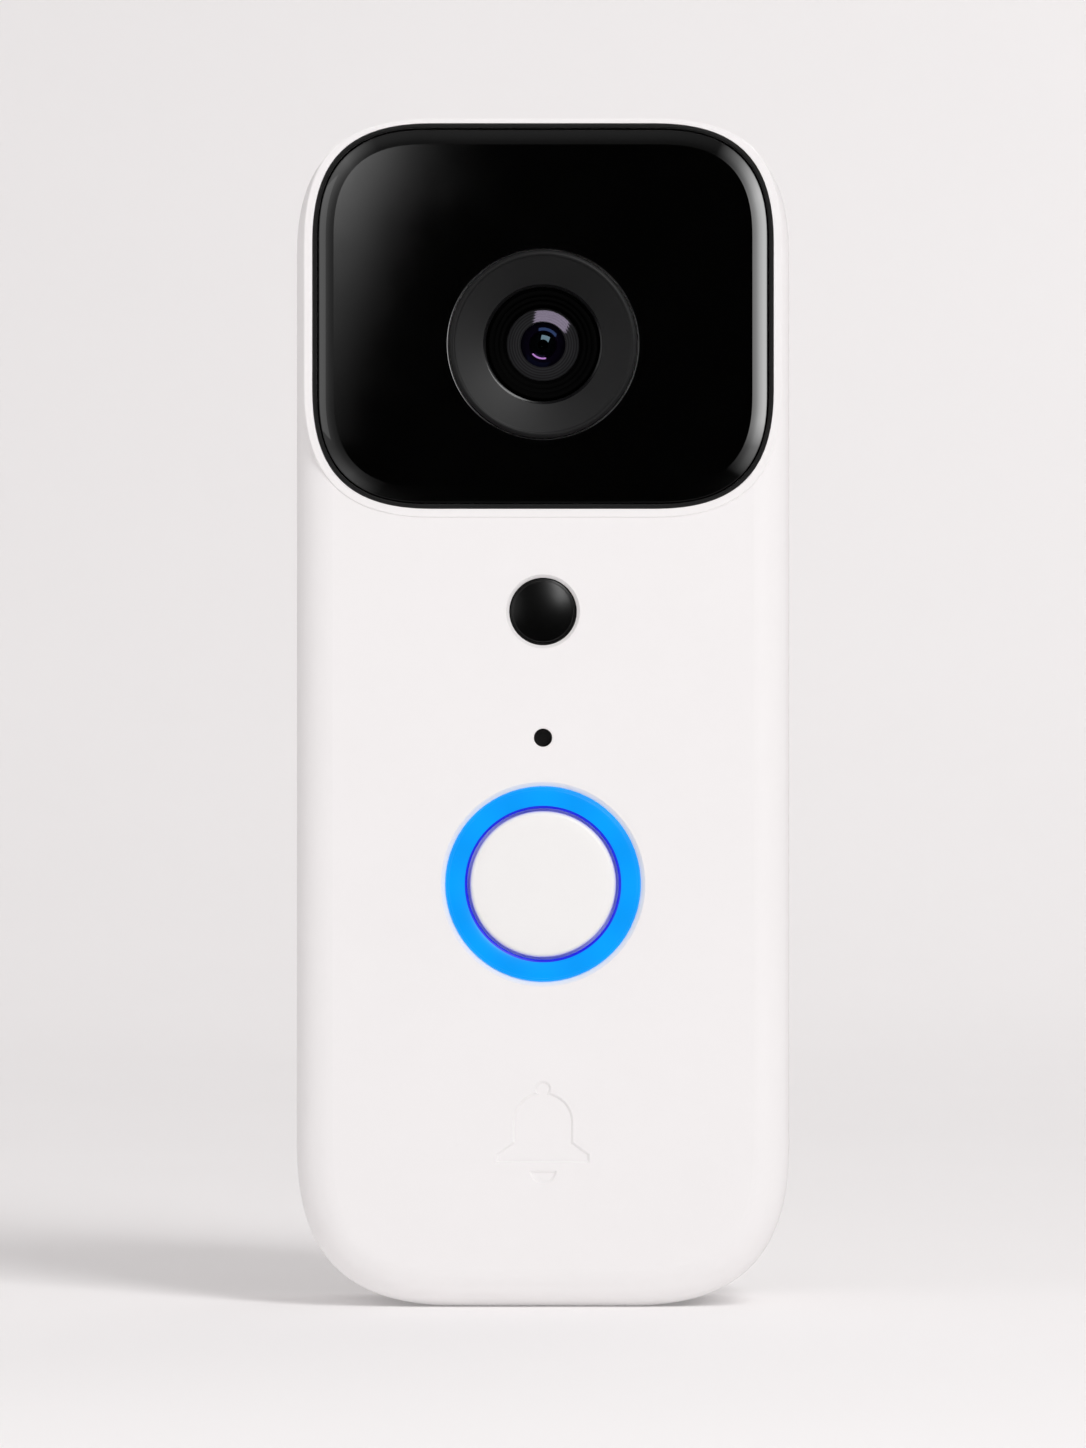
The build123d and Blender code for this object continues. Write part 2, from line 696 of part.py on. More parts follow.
with BuildPart() as microphone:
    with BuildSketch(facing_front(BOARD_FRONT)):
        with Locations((0, MIC_Z)):
            Rectangle(3.5, 2.7)
    extrude(amount=1.0)
    with Locations(facing_front(BOARD_FRONT - 1.0)):
        with Locations((0, MIC_Z)):
            Hole(0.4, depth=0.6)
save(microphone.part, "microphone")

# ---------------------------------------------------------------- button and light ring
ring_profile = [
    (RING_INNER, -12.85),
    (RING_OUTER - 0.45, -13.1),
    (RING_OUTER, -12.75),
    (RING_OUTER, SHELL_INNER + FIT),
    (12.2, SHELL_INNER + FIT),
    (12.2, -9.9),
    (RING_OUTER, -9.9),
    (RING_OUTER, -7.6),
    (9.2, -7.6),
    (9.2, -11.4),
    (RING_INNER, -11.4),
]
save(turned(BUTTON_Z, *ring_profile), "light_ring")

cap_profile = [
    (0, SHELL_FRONT),
    (BUTTON_RADIUS - 0.55, SHELL_FRONT),
    (BUTTON_RADIUS - 0.15, SHELL_FRONT + 0.15),
    (BUTTON_RADIUS, SHELL_FRONT + 0.55),
    (BUTTON_RADIUS, -11.35),
    (8.9, -11.35),
    (8.9, -10.9),
    (6.0, -10.9),
    (6.0, -11.8),
    (2.2, -11.8),
    (2.2, -10.85),
    (0, -10.85),
]
save(turned(BUTTON_Z, *cap_profile), "button_cap")

membrane_profile = [
    (0, -10.8),
    (2.6, -10.8),
    (4.0, -9.7),
    (8.3, -9.7),
    (8.3, -9.9),
    (9.15, -9.9),
    (9.15, -9.0),
    (8.3, -9.0),
    (8.3, -9.3),
    (3.8, -9.3),
    (2.4, -10.4),
    (0, -10.4),
]
save(turned(BUTTON_Z, *membrane_profile), "button_membrane")

plunger_profile = [(0, -10.35), (1.5, -10.35), (1.5, -8.6), (0, -8.6)]
save(turned(BUTTON_Z, *plunger_profile), "switch_plunger")

with BuildPart() as button_switch:
    with BuildSketch(facing_front(BOARD_FRONT)):
        with Locations((0, BUTTON_Z)):
            RectangleRounded(6.0, 6.0, 0.4)
    extrude(amount=2.7)
    with Locations(facing_front(BOARD_FRONT - 2.7)):
        with Locations((0, BUTTON_Z)):
            Hole(1.55, depth=1.3)
save(button_switch.part, "button_switch")

with BuildPart() as ring_lamps:
    with BuildSketch(facing_front(BOARD_FRONT)):
        with Locations((0, BUTTON_Z)):
            with PolarLocations(9.9, 8):
                Rectangle(0.9, 1.8)
    extrude(amount=0.7)
save(ring_lamps.part, "ring_lamps")

# ---------------------------------------------------------------- main board
with BuildPart() as main_board:
    with BuildSketch(facing_front(BOARD_BACK)):
        with Locations((0, (BOARD_BOTTOM + BOARD_TOP) / 2)):
            RectangleRounded(2 * BOARD_HALF_WIDTH, BOARD_TOP - BOARD_BOTTOM, 2.0)
        with Locations(*BOARD_SPOTS):
            Circle(SMALL_SHANK + 0.1, mode=Mode.SUBTRACT)
    extrude(amount=BOARD_BACK - BOARD_FRONT)
save(main_board.part, "main_board")

# Thin tin cans over the radio and the processor, as (x, z, width, height).
SHIELDED = [(0.0, 71.5, 24.0, 16.0), (8.0, 52.0, 18.0, 14.0)]
with BuildPart() as shield_cans:
    for x, z, width, height in SHIELDED:
        with BuildSketch(facing_wall(BOARD_BACK)):
            with Locations((-x, z)):
                RectangleRounded(width, height, 0.6)
        extrude(amount=2.3)
        with BuildSketch(facing_wall(BOARD_BACK)):
            with Locations((-x, z)):
                RectangleRounded(width - 0.4, height - 0.4, 0.4)
        extrude(amount=2.1, mode=Mode.SUBTRACT)
save(shield_cans.part, "shield_cans")

with BuildPart() as board_chips:
    for x, z, width, height, thickness in (
        (-5.0, 71.5, 11.0, 11.0, 1.2),
        (6.5, 71.5, 8.0, 10.0, 1.0),
        (8.0, 52.0, 9.0, 9.0, 1.0),
        (-11.0, 58.5, 5.0, 4.0, 0.9),
    ):
        with BuildSketch(facing_wall(BOARD_BACK)):
            with Locations((-x, z)):
                Rectangle(width, height)
        extrude(amount=thickness)
save(board_chips.part, "board_chips")

# Sockets on the back of the board, as (x, z, width, height, thickness).
CAMERA_SOCKET = (0.0, 83.2, 10.0, 3.0, 1.0)
BATTERY_SOCKET = (-12.5, 47.5, 6.0, 4.0, 2.4)
POWER_SOCKET = (4.0, 41.5, 10.0, 3.0, 1.0)
AERIAL_SOCKET = (-18.0, 60.0, 2.6, 2.6, 1.3)
with BuildPart() as board_sockets:
    for x, z, width, height, thickness in (
        CAMERA_SOCKET,
        BATTERY_SOCKET,
        POWER_SOCKET,
        AERIAL_SOCKET,
    ):
        with BuildSketch(facing_wall(BOARD_BACK)):
            with Locations((-x, z)):
                Rectangle(width, height)
        extrude(amount=thickness)
save(board_sockets.part, "board_sockets")

with BuildPart() as board_screws:
    for seat, spots in (
        (facing_wall(BOARD_BACK), BOARD_SPOTS),
        (facing_wall(HOLDER_BACK), CAMERA_SPOTS),
        (facing_front(POWER_BOARD_FRONT), POWER_SPOTS),
    ):
        add(screws(seat, spots, SMALL_SHANK, SMALL_LENGTH, SMALL_HEAD, SMALL_HEAD_HEIGHT))
save(board_screws.part, "board_screws")

# ---------------------------------------------------------------- battery
with BuildPart() as battery:
    add(block((-20.5, 20.5), BATTERY_DEPTH, BATTERY_Z))
    fillet(battery.edges().filter_by(Axis.Z), 2.2)
    fillet(battery.edges().group_by(Axis.Z)[-1], 0.8)
save(battery.part, "battery")

with BuildPart() as battery_pad:
    add(block((-18.0, 18.0), (BATTERY_DEPTH[1], REAR_INNER), (38.0, 83.0)))
save(battery_pad.part, "battery_pad")

# ---------------------------------------------------------------- speaker
with BuildPart() as speaker_frame:
    with BuildSketch(Plane.XY.offset(4.0)):
        with Locations((0, SPEAKER_Y)):
            SlotOverall(27.0, 11.0)
    extrude(amount=3.4)
    with BuildSketch(Plane.XY.offset(4.0)):
        with Locations((0, SPEAKER_Y)):
            SlotOverall(24.6, 8.6)
    extrude(amount=2.6, mode=Mode.SUBTRACT)
    with BuildSketch(Plane.XY.offset(6.6)):
        with Locations((0, SPEAKER_Y)):
            SlotOverall(16.0, 5.2)
    extrude(amount=0.8, mode=Mode.SUBTRACT)
save(speaker_frame.part, "speaker_frame")

with BuildPart() as speaker_cone:
    with BuildSketch(Plane.XY.offset(4.6)):
        with Locations((0, SPEAKER_Y)):
            SlotOverall(24.5, 8.5)
    extrude(amount=0.5)
    with BuildSketch(Plane.XY.offset(5.1)):
        with Locations((0, SPEAKER_Y)):
            SlotOverall(17.0, 5.0)
    extrude(amount=1.2, taper=10)
    with BuildSketch(Plane.XY.offset(4.6)):
        with Locations((0, SPEAKER_Y)):
            SlotOverall(15.6, 3.6)
    extrude(amount=1.2, mode=Mode.SUBTRACT)
save(speaker_cone.part, "speaker_cone")

with BuildPart() as speaker_magnet:
    with BuildSketch(Plane.XY.offset(6.65)):
        with Locations((0, SPEAKER_Y)):
            SlotOverall(15.9, 5.1)
    extrude(amount=0.8)
    with BuildSketch(Plane.XY.offset(7.45)):
        with Locations((0, SPEAKER_Y)):
            SlotOverall(19.0, 8.0)
    extrude(amount=3.0)
    fillet(speaker_magnet.faces().sort_by(Axis.Z)[-1].edges(), 0.4)
save(speaker_magnet.part, "speaker_magnet")

with BuildPart() as speaker_gasket:
    with BuildSketch(Plane.XY.offset(1.0)):
        with Locations((0, SPEAKER_Y)):
            SlotOverall(25.6, 10.4)
            SlotOverall(23.0, 7.8, mode=Mode.SUBTRACT)
    extrude(amount=2.95)
    add(front_cavity.part, mode=Mode.INTERSECT)
save(speaker_gasket.part, "speaker_gasket")

# ---------------------------------------------------------------- power board and rear connections
with BuildPart() as power_board:
    with BuildSketch(facing_front(POWER_BOARD_BACK)):
        with Locations((0, 23.0)):
            RectangleRounded(28.0, 18.0, 1.0)
        with Locations(*POWER_SPOTS):
            Circle(SMALL_SHANK + 0.1, mode=Mode.SUBTRACT)
        with Locations(*TERMINAL_SPOTS):
            Circle(1.05, mode=Mode.SUBTRACT)
    extrude(amount=POWER_BOARD_BACK - POWER_BOARD_FRONT)
save(power_board.part, "power_board")

with BuildPart() as power_capacitors:
    for x, z in ((-4.0, 19.5), (5.5, 19.5)):
        with BuildSketch(facing_front(POWER_BOARD_FRONT)):
            with Locations((x, z)):
                Circle(4.0)
        extrude(amount=8.0)
    fillet(power_capacitors.faces().filter_by(GeomType.PLANE).group_by(Axis.Y)[0].edges(), 0.5)
save(power_capacitors.part, "power_capacitors")

with BuildPart() as usb_socket:
    with BuildSketch(facing_wall(POWER_BOARD_BACK)):
        with Locations((0, USB_Z)):
            SlotOverall(8.94, 3.16)
    extrude(amount=REAR_INNER - FIT - POWER_BOARD_BACK)
    with BuildSketch(facing_wall(REAR_INNER - FIT)):
        with Locations((0, USB_Z)):
            SlotOverall(8.34, 2.56)
            Rectangle(6.7, 0.7, mode=Mode.SUBTRACT)
    extrude(amount=-4.1, mode=Mode.SUBTRACT)
save(usb_socket.part, "usb_socket")

with BuildPart() as reset_switch:
    with BuildSketch(facing_wall(POWER_BOARD_BACK)):
        with Locations((-RESET_X, USB_Z)):
            RectangleRounded(3.6, 3.6, 0.3)
    extrude(amount=2.4)
    with Locations(facing_wall(POWER_BOARD_BACK + 2.4)):
        with Locations((-RESET_X, USB_Z)):
            Hole(0.95, depth=1.4)
save(reset_switch.part, "reset_switch")

reset_profile = [
    (0, 10.0),
    (1.3, 10.0),
    (1.5, 9.8),
    (1.5, 7.95),
    (2.1, 7.95),
    (2.1, 7.3),
    (0.9, 7.3),
    (0.9, 5.0),
    (0, 5.0),
]
save(turned(USB_Z, *reset_profile, x=RESET_X), "reset_button")

with BuildPart() as usb_flap:
    add(block((-FLAP_HALF, FLAP_HALF), (FLAP_SEAT + FIT, RECESS_FLOOR - FIT), FLAP))
    fillet(usb_flap.edges().filter_by(Axis.Y).group_by(Axis.Z)[-1], 1.2)
    # Knuckle on the hinge pin, and the web that carries the cover.
    add(block((-KNUCKLE_HALF, KNUCKLE_HALF), (9.8, FLAP_AXIS[0]), (FLAP_AXIS[1], 15.2)))
    with BuildSketch(facing_side(0)):
        with Locations(FLAP_AXIS):
            Circle(EAR_RADIUS)
    extrude(amount=KNUCKLE_HALF, both=True)
    with BuildSketch(facing_side(0)):
        with Locations(FLAP_AXIS):
            Circle(PIN_RADIUS + FIT)
    extrude(amount=KNUCKLE_HALF, both=True, mode=Mode.SUBTRACT)
    # Plug that seals the socket's mouth, and the lip a fingernail lifts it by.
    with BuildSketch(facing_front(FLAP_SEAT + FIT)):
        with Locations((0, USB_Z)):
            SlotOverall(8.2, 2.4)
    extrude(amount=0.85)
    add(block((-1.5, 1.5), (RECESS_FLOOR - FIT, 10.6), (20.3, 21.2)))
save(usb_flap.part, "usb_flap")

with BuildPart() as hinge_pin:
    with BuildSketch(facing_side(0)):
        with Locations(FLAP_AXIS):
            Circle(PIN_RADIUS)
    extrude(amount=PIN_HALF, both=True)
save(hinge_pin.part, "hinge_pin")

with BuildPart() as terminal_inserts:
    for radius, front, back in ((2.3, 5.2, 10.15), (3.2, 7.2, 7.95), (1.0, 1.8, 5.2)):
        with BuildSketch(facing_wall(front)):
            with Locations(*TERMINAL_SPOTS):
                Circle(radius)
        extrude(amount=back - front)
    with Locations(facing_wall(10.15)):
        with Locations(*TERMINAL_SPOTS):
            Hole(1.55, depth=4.4)
save(terminal_inserts.part, "terminal_inserts")

with BuildPart() as terminal_plates:
    with BuildSketch(facing_wall(RECESS_FLOOR)):
        with Locations(*TERMINAL_SPOTS):
            RectangleRounded(7.0, 7.0, 0.8)
            Circle(1.6, mode=Mode.SUBTRACT)
    extrude(amount=0.6)
save(terminal_plates.part, "terminal_plates")

save(
    screws(facing_wall(RECESS_FLOOR + 0.6), TERMINAL_SPOTS, 1.5, 4.5, 2.75, 1.7),
    "terminal_screws",
)

# ---------------------------------------------------------------- internal cables
camera_line = [(0.15, 100.0), (0.15, 89.5), (-3.75, 88.6), (-3.75, 84.75)]
save(ribbon(camera_line, 0.2, 0.0, 8.0, 1.2), "camera_flex")

power_line = [(2.05, 30.0), (2.05, 32.3), (-4.75, 32.3), (-4.75, 39.95)]
save(ribbon(power_line, 0.2, 4.0, 8.0, 1.0), "power_ribbon")

battery_routes = []
for x in (-13.6, -11.4):
    drop = [(x, 2.0, 34.95), (x, 2.0, 32.0)]
    battery_routes.append(drop + [(x, -4.0, 32.0), (x, -4.0, 45.45)])
save(wires(battery_routes, 0.55, 1.6), "battery_leads")

speaker_routes = []
for x in (-8.8, -7.6):
    side = x - 3.6
    rise = [(x, -5.0, 10.5), (x, -5.0, 13.0), (side, -5.0, 16.0)]
    speaker_routes.append(rise + [(side, -5.0, 28.5), (side, 2.15, 28.5)])
save(wires(speaker_routes, 0.4, 1.2), "speaker_leads")

with BuildPart() as wifi_antenna:
    add(block((-24.9, -24.7), (-9.0, -2.0), (46.0, 76.0)))
save(wifi_antenna.part, "wifi_antenna")

aerial_route = [
    (-19.35, -4.5, 60.0),
    (-22.6, -4.5, 60.0),
    (-22.6, -4.5, 66.0),
    (-24.65, -4.5, 66.0),
]
save(wires([aerial_route], 0.4, 0.9), "antenna_cable")

# ---------------------------------------------------------------- wall plate and latch
with BuildPart() as wall_plate:
    extrude(housing_outline(PLATE_BASE, PLATE_INSET), amount=PLATE_BASE - WALL_FACE)
    fillet(wall_plate.faces().sort_by(Axis.Y)[-1].edges(), 0.5)
    with BuildSketch(facing_front(PLATE_BASE)):
        add(housing_outline(PLATE_BASE, PLATE_INSET))
        add(housing_outline(PLATE_BASE, PLATE_INSET + PLATE_RIM), mode=Mode.SUBTRACT)
    extrude(amount=PLATE_BASE - PLATE_FRONT)
    # Stiffening ribs, screw bosses and the latch's guides.
    for z in (35.0, 57.0, 79.0, 112.0):
        add(block((-20.0, 20.0), (11.0, PLATE_BASE), (z - 0.5, z + 0.5)))
    for x in (-13.5, 13.5):
        add(block((x - 0.5, x + 0.5), (11.0, PLATE_BASE), (34.5, 112.5)))
        inner, outer = sorted((x / 13.5 * (LATCH_HALF + 0.1), x / 13.5 * (LATCH_HALF + 1.3)))
        add(block((inner, outer), (LATCH_DEPTH[0], PLATE_BASE), (5.0, LATCH_STOP[1])))
    stop = LATCH_HALF + 1.3
    add(block((-stop, stop), (LATCH_DEPTH[0], PLATE_BASE), LATCH_STOP))
    with BuildSketch(facing_front(PLATE_BASE)):
        with Locations(*[(0, z) for z in PLATE_SCREW_Z]):
            Circle(6.0)
    extrude(amount=PLATE_BASE - PLATE_BOSS_FRONT)
    for x in (-HOOK_X, HOOK_X):
        hook = (x - HOOK_HALF, x + HOOK_HALF)
        add(block(hook, HOOK_DEPTH, (125.5, 127.5)))
    # Openings: cable window, screw holes and the slot the latch's nose leaves by.
    window = (-CABLE_WINDOW_HALF, CABLE_WINDOW_HALF)
    add(block(window, (RECESS_FLOOR, WALL_FACE), CABLE_WINDOW), mode=Mode.SUBTRACT)
    slot = (-LATCH_NOSE_HALF - 0.1, LATCH_NOSE_HALF + 0.1)
    add(block(slot, (RECESS_FLOOR, PLATE_BASE), (3.0, 5.5)), mode=Mode.SUBTRACT)
    with Locations(facing_front(PLATE_BOSS_FRONT)):
        with Locations(*[(0, z) for z in PLATE_SCREW_Z]):
            CounterSinkHole(PLATE_SCREW_RADIUS, PLATE_SCREW_SINK, counter_sink_angle=90)
save(wall_plate.part, "wall_plate")

with BuildPart() as release_latch:
    add(block((-LATCH_HALF, LATCH_HALF), LATCH_DEPTH, LATCH_BODY))
    nose = (-LATCH_NOSE_HALF, LATCH_NOSE_HALF)
    add(block(nose, LATCH_DEPTH, (LATCH_NOSE_TIP, LATCH_BODY[0])))
    chamfer(release_latch.edges().group_by(Axis.Z)[0].sort_by(Axis.Y)[0], 0.5)
save(release_latch.part, "release_latch")

with BuildPart() as latch_spring:
    with BuildSketch(facing_front(LATCH_DEPTH[0] + 0.1)):
        with BuildLine():
            FilletPolyline(
                (-4.3, 11.85),
                (-2.2, 9.15),
                (0, 11.85),
                (2.2, 9.15),
                (4.3, 11.85),
                radius=0.5,
            )
        trace(line_width=0.2)
    extrude(amount=-1.2)
save(latch_spring.part, "latch_spring")
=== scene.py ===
"""Looks of the video doorbell: moulded white body, black camera window, lit push button.

Metres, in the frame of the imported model: +Z up, the front faces -Y, the wall is on +Y.
"""

from math import asin, cos, pi, radians, sin, sqrt

import bpy
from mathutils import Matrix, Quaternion, Vector


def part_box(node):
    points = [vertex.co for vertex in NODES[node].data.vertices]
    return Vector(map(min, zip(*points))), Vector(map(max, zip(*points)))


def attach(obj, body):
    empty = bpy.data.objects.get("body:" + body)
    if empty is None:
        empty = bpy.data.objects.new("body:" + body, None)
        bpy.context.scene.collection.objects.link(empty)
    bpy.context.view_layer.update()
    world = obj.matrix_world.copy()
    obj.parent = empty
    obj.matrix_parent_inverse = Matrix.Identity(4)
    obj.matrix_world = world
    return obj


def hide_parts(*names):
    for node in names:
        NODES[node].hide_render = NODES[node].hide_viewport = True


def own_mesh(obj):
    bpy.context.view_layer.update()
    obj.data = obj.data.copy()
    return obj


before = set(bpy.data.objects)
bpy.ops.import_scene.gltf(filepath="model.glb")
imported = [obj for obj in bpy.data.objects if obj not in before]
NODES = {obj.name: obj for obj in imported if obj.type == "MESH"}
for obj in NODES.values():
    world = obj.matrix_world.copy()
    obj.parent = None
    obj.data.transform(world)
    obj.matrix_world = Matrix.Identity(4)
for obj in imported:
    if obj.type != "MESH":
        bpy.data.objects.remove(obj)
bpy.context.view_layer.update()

MM = 0.001

# ---------------------------------------------------------------- places read from the frame


def centre(node_name):
    low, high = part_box(node_name)
    return (low + high) / 2


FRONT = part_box("lens_trim_ring")[0].y
LENS = centre("lens_trim_ring")
PIR = centre("pir_lens")
BUTTON = centre("light_ring")
RING_LAMPS = 8.0

# ---------------------------------------------------------------- materials


def linear(hex_colour):
    """sRGB hex such as "F2F0ED" to the linear RGBA that the shaders take."""
    channels = []
    for start in (0, 2, 4):
        value = int(hex_colour[start : start + 2], 16) / 255
        channels.append(value / 12.92 if value <= 0.04045 else ((value + 0.055) / 1.055) ** 2.4)
    return (*channels, 1.0)


def node(tree, kind, settings=None, **inputs):
    """Adds a node. Inputs are values or the sockets that feed them; "_" stands for a space,
    and "_6" for the input numbered 6."""
    made = tree.nodes.new(kind)
    for name, value in (settings or {}).items():
        setattr(made, name, value)
    for name, value in inputs.items():
        numbered = name[1:].isdigit()
        socket = made.inputs[int(name[1:])] if numbered else made.inputs[name.replace("_", " ")]
        if isinstance(value, bpy.types.NodeSocket):
            tree.links.new(value, socket)
        else:
            socket.default_value = value
    return made


COLOUR_MIX = {"data_type": "RGBA"}
WAVE_STRETCH = 6.4  # a wave texture of scale 1 / (6.4 * pitch) repeats every two pitches
MIDDLE_OF_WAVE = (0.4, 0.6)


def material(name, colour, roughness, metallic=0.0, **shader_values):
    """A material with its shader's plain values set, and a position fixed to the object."""
    made = bpy.data.materials.new(name)
    made.use_nodes = True
    tree = made.node_tree
    shader = tree.nodes["Principled BSDF"]
    shader.inputs["Base Color"].default_value = linear(colour)
    shader.inputs["Roughness"].default_value = roughness
    shader.inputs["Metallic"].default_value = metallic
    for socket, value in shader_values.items():
        shader.inputs[socket.replace("_", " ")].default_value = value
    place = node(tree, "ShaderNodeTexCoord").outputs["Object"]
    return made, tree, shader, place


def two_toned(tree, shader, share, first, second):
    """Mixes the base colour from two colours, by the share given of the second."""
    tone = node(tree, "ShaderNodeMix", COLOUR_MIX, Factor=share, _6=first, _7=second)
    tree.links.new(tone.outputs[2], shader.inputs["Base Color"])


def embossed(tree, shader, height, depth, strength, settings=None):
    """Raises a pattern from the surface by the depth given."""
    bump = node(
        tree, "ShaderNodeBump", settings, Height=height, Distance=depth, Strength=strength
    )
    tree.links.new(bump.outputs["Normal"], shader.inputs["Normal"])


def clouded(tree, shader, place, first, second, size, detail=3.0):
    """Drifts the base colour between two close tones over patches of the given size."""
    drift = node(tree, "ShaderNodeTexNoise", Vector=place, Scale=1 / size, Detail=detail)
    two_toned(tree, shader, drift.outputs["Fac"], linear(first), linear(second))


def grained(tree, shader, place, size, depth, low, high, detail=2.0):
    """Fine random relief of the given grain size and depth; it varies the roughness too."""
    grit = node(tree, "ShaderNodeTexNoise", Vector=place, Scale=1 / size, Detail=detail)
    height = grit.outputs["Fac"]
    spread = node(tree, "ShaderNodeMapRange", Value=height, To_Min=low, To_Max=high)
    tree.links.new(spread.outputs["Result"], shader.inputs["Roughness"])
    embossed(tree, shader, height, depth, 0.6)


def moulded(
    name, first, second, roughness, grain=0.16 * MM, relief=0.003 * MM, **shader_values
):
    """Injection-moulded plastic from a spark-eroded tool. The fine even grain spreads the
    highlights, and the melt's flow leaves a barely visible drift in tone."""
    made, tree, shader, place = material(name, first, roughness, **shader_values)
    clouded(tree, shader, place, first, second, 22 * MM)
    grained(tree, shader, place, grain, relief, roughness - 0.04, roughness + 0.04)
    return made


def polished(name, colour, haze, roughness=0.03, **shader_values):
    """Plastic or glass from a mirror-polished tool: deep reflections, broken only by a faint
    haze in patches a few millimetres wide, as handling leaves it."""
    made, tree, shader, place = material(name, colour, roughness, **shader_values)
    clouded(tree, shader, place, colour, haze, 6 * MM)
    film = node(tree, "ShaderNodeTexNoise", Vector=place, Scale=1 / (9 * MM), Detail=4.0)
    spread = node(
        tree,
        "ShaderNodeMapRange",
        Value=film.outputs["Fac"],
        From_Min=0.35,
        From_Max=0.75,
        To_Min=roughness,
        To_Max=roughness + 0.03,
    )
    tree.links.new(spread.outputs["Result"], shader.inputs["Roughness"])
    return made


def rubber(name, first, second):
    """Moulded silicone: soft sheen and a powdery bloom that lightens it in small patches."""
    made, tree, shader, place = material(name, first, 0.6, Sheen_Weight=0.15)
    clouded(tree, shader, place, first, second, 2.5 * MM, 5.0)
    grained(tree, shader, place, 0.09 * MM, 0.002 * MM, 0.52, 0.68)
    return made


def blasted(name, first, second, roughness, **shader_values):
    """Bead-blasted and anodised aluminium: tiny even dimples that give a dense dull grey."""
    made, tree, shader, place = material(name, first, roughness, **shader_values)
    clouded(tree, shader, place, first, second, 5 * MM)
    dimples = node(tree, "ShaderNodeTexVoronoi", Vector=place, Scale=1 / (0.11 * MM))
    embossed(tree, shader, dimples.outputs["Distance"], 0.003 * MM, 0.5)
    return made


def ringed(name, colour, light_groove, axis_at, pitch, roughness, **shader_values):
    """Turned on a lathe: concentric grooves two pitches apart, centred on the axis."""
    made, tree, shader, place = material(name, colour, roughness, **shader_values)
    centred = node(
        tree, "ShaderNodeMapping", Vector=place, Location=(-axis_at.x, 0.0, -axis_at.z)
    )
    rings = node(
        tree,
        "ShaderNodeTexWave",
        {"wave_type": "RINGS", "rings_direction": "Y"},
        Vector=centred.outputs["Vector"],
        Scale=1 / pitch / WAVE_STRETCH,
        Distortion=0.0,
    )
    height = rings.outputs["Fac"]
    two_toned(tree, shader, height, linear(colour), linear(light_groove))
    embossed(tree, shader, height, 0.006 * MM, 0.5)
    return made


def plated(name, bright, dull, roughness=0.28):
    """Plated metal straight from the barrel: bright, with hairline handling scratches."""
    made, tree, shader, place = material(name, bright, roughness, 1.0)
    clouded(tree, shader, place, bright, dull, 1.8 * MM, 5.0)
    stretched = node(tree, "ShaderNodeMapping", Vector=place, Scale=(1.0, 1.0, 0.08))
    hairlines = node(
        tree,
        "ShaderNodeTexNoise",
        Vector=stretched.outputs["Vector"],
        Scale=1 / (0.12 * MM),
    )
    height = hairlines.outputs["Fac"]
    spread = node(
        tree,
        "ShaderNodeMapRange",
        Value=height,
        To_Min=roughness - 0.1,
        To_Max=roughness + 0.12,
    )
    tree.links.new(spread.outputs["Result"], shader.inputs["Roughness"])
    embossed(tree, shader, height, 0.002 * MM, 0.4)
    return made


def circuit_board(name, mask, copper):
    """Glass-epoxy board under solder mask: copper tracks 1 mm apart show through the lacquer
    as a lighter tone, and tinned vias stand out as bright dots."""
    made, tree, shader, place = material(name, mask, 0.32, Coat_Weight=0.4, Coat_Roughness=0.12)
    flat = node(tree, "ShaderNodeMapping", Vector=place, Rotation=(pi / 2, 0.0, 0.0))
    tracks = node(
        tree,
        "ShaderNodeTexBrick",
        {"offset": 0.5, "squash": 0.7, "squash_frequency": 3},
        Vector=flat.outputs["Vector"],
        Color1=linear(mask),
        Color2=linear(mask),
        Mortar=linear(copper),
        Scale=1 / (4 * MM),
        Mortar_Size=0.035,
        Brick_Width=0.9,
        Row_Height=0.25,
    )
    vias = node(
        tree,
        "ShaderNodeTexVoronoi",
        Vector=flat.outputs["Vector"],
        Scale=1 / (3.1 * MM),
        Randomness=0.6,
    )
    dot = node(
        tree,
        "ShaderNodeMath",
        {"operation": "LESS_THAN"},
        _0=vias.outputs["Distance"],
        _1=0.09,
    )
    two_toned(tree, shader, dot.outputs["Value"], tracks.outputs["Color"], linear("C9C6BC"))
    tree.links.new(dot.outputs["Value"], shader.inputs["Metallic"])
    embossed(tree, shader, tracks.outputs["Fac"], 0.02 * MM, 0.5)
    return made


def woven(name, thread, gap, spacing, metallic=0.0):
    """Plain weave: threads at the given spacing pass over and under each other."""
    made, tree, shader, place = material(name, thread, 0.5, metallic)
    weave = node(
        tree,
        "ShaderNodeTexChecker",
        Vector=place,
        Color1=linear(thread),
        Color2=linear(gap),
        Scale=1 / spacing,
    )
    tree.links.new(weave.outputs["Color"], shader.inputs["Base Color"])
    embossed(tree, shader, weave.outputs["Fac"], 0.03 * MM, 0.7)
    return made


def pouch_foil():
    """Deep-drawn aluminium laminate round the cell: satin, with shallow creases 4 mm apart."""
    made, tree, shader, place = material("deep_drawn_pouch_foil", "B9BCC0", 0.34, 0.9)
    clouded(tree, shader, place, "B9BCC0", "A4A7AC", 14 * MM)
    creases = node(
        tree,
        "ShaderNodeTexNoise",
        Vector=place,
        Scale=1 / (4 * MM),
        Detail=3.0,
        Distortion=1.2,
    )
    embossed(tree, shader, creases.outputs["Fac"], 0.12 * MM, 0.7)
    return made


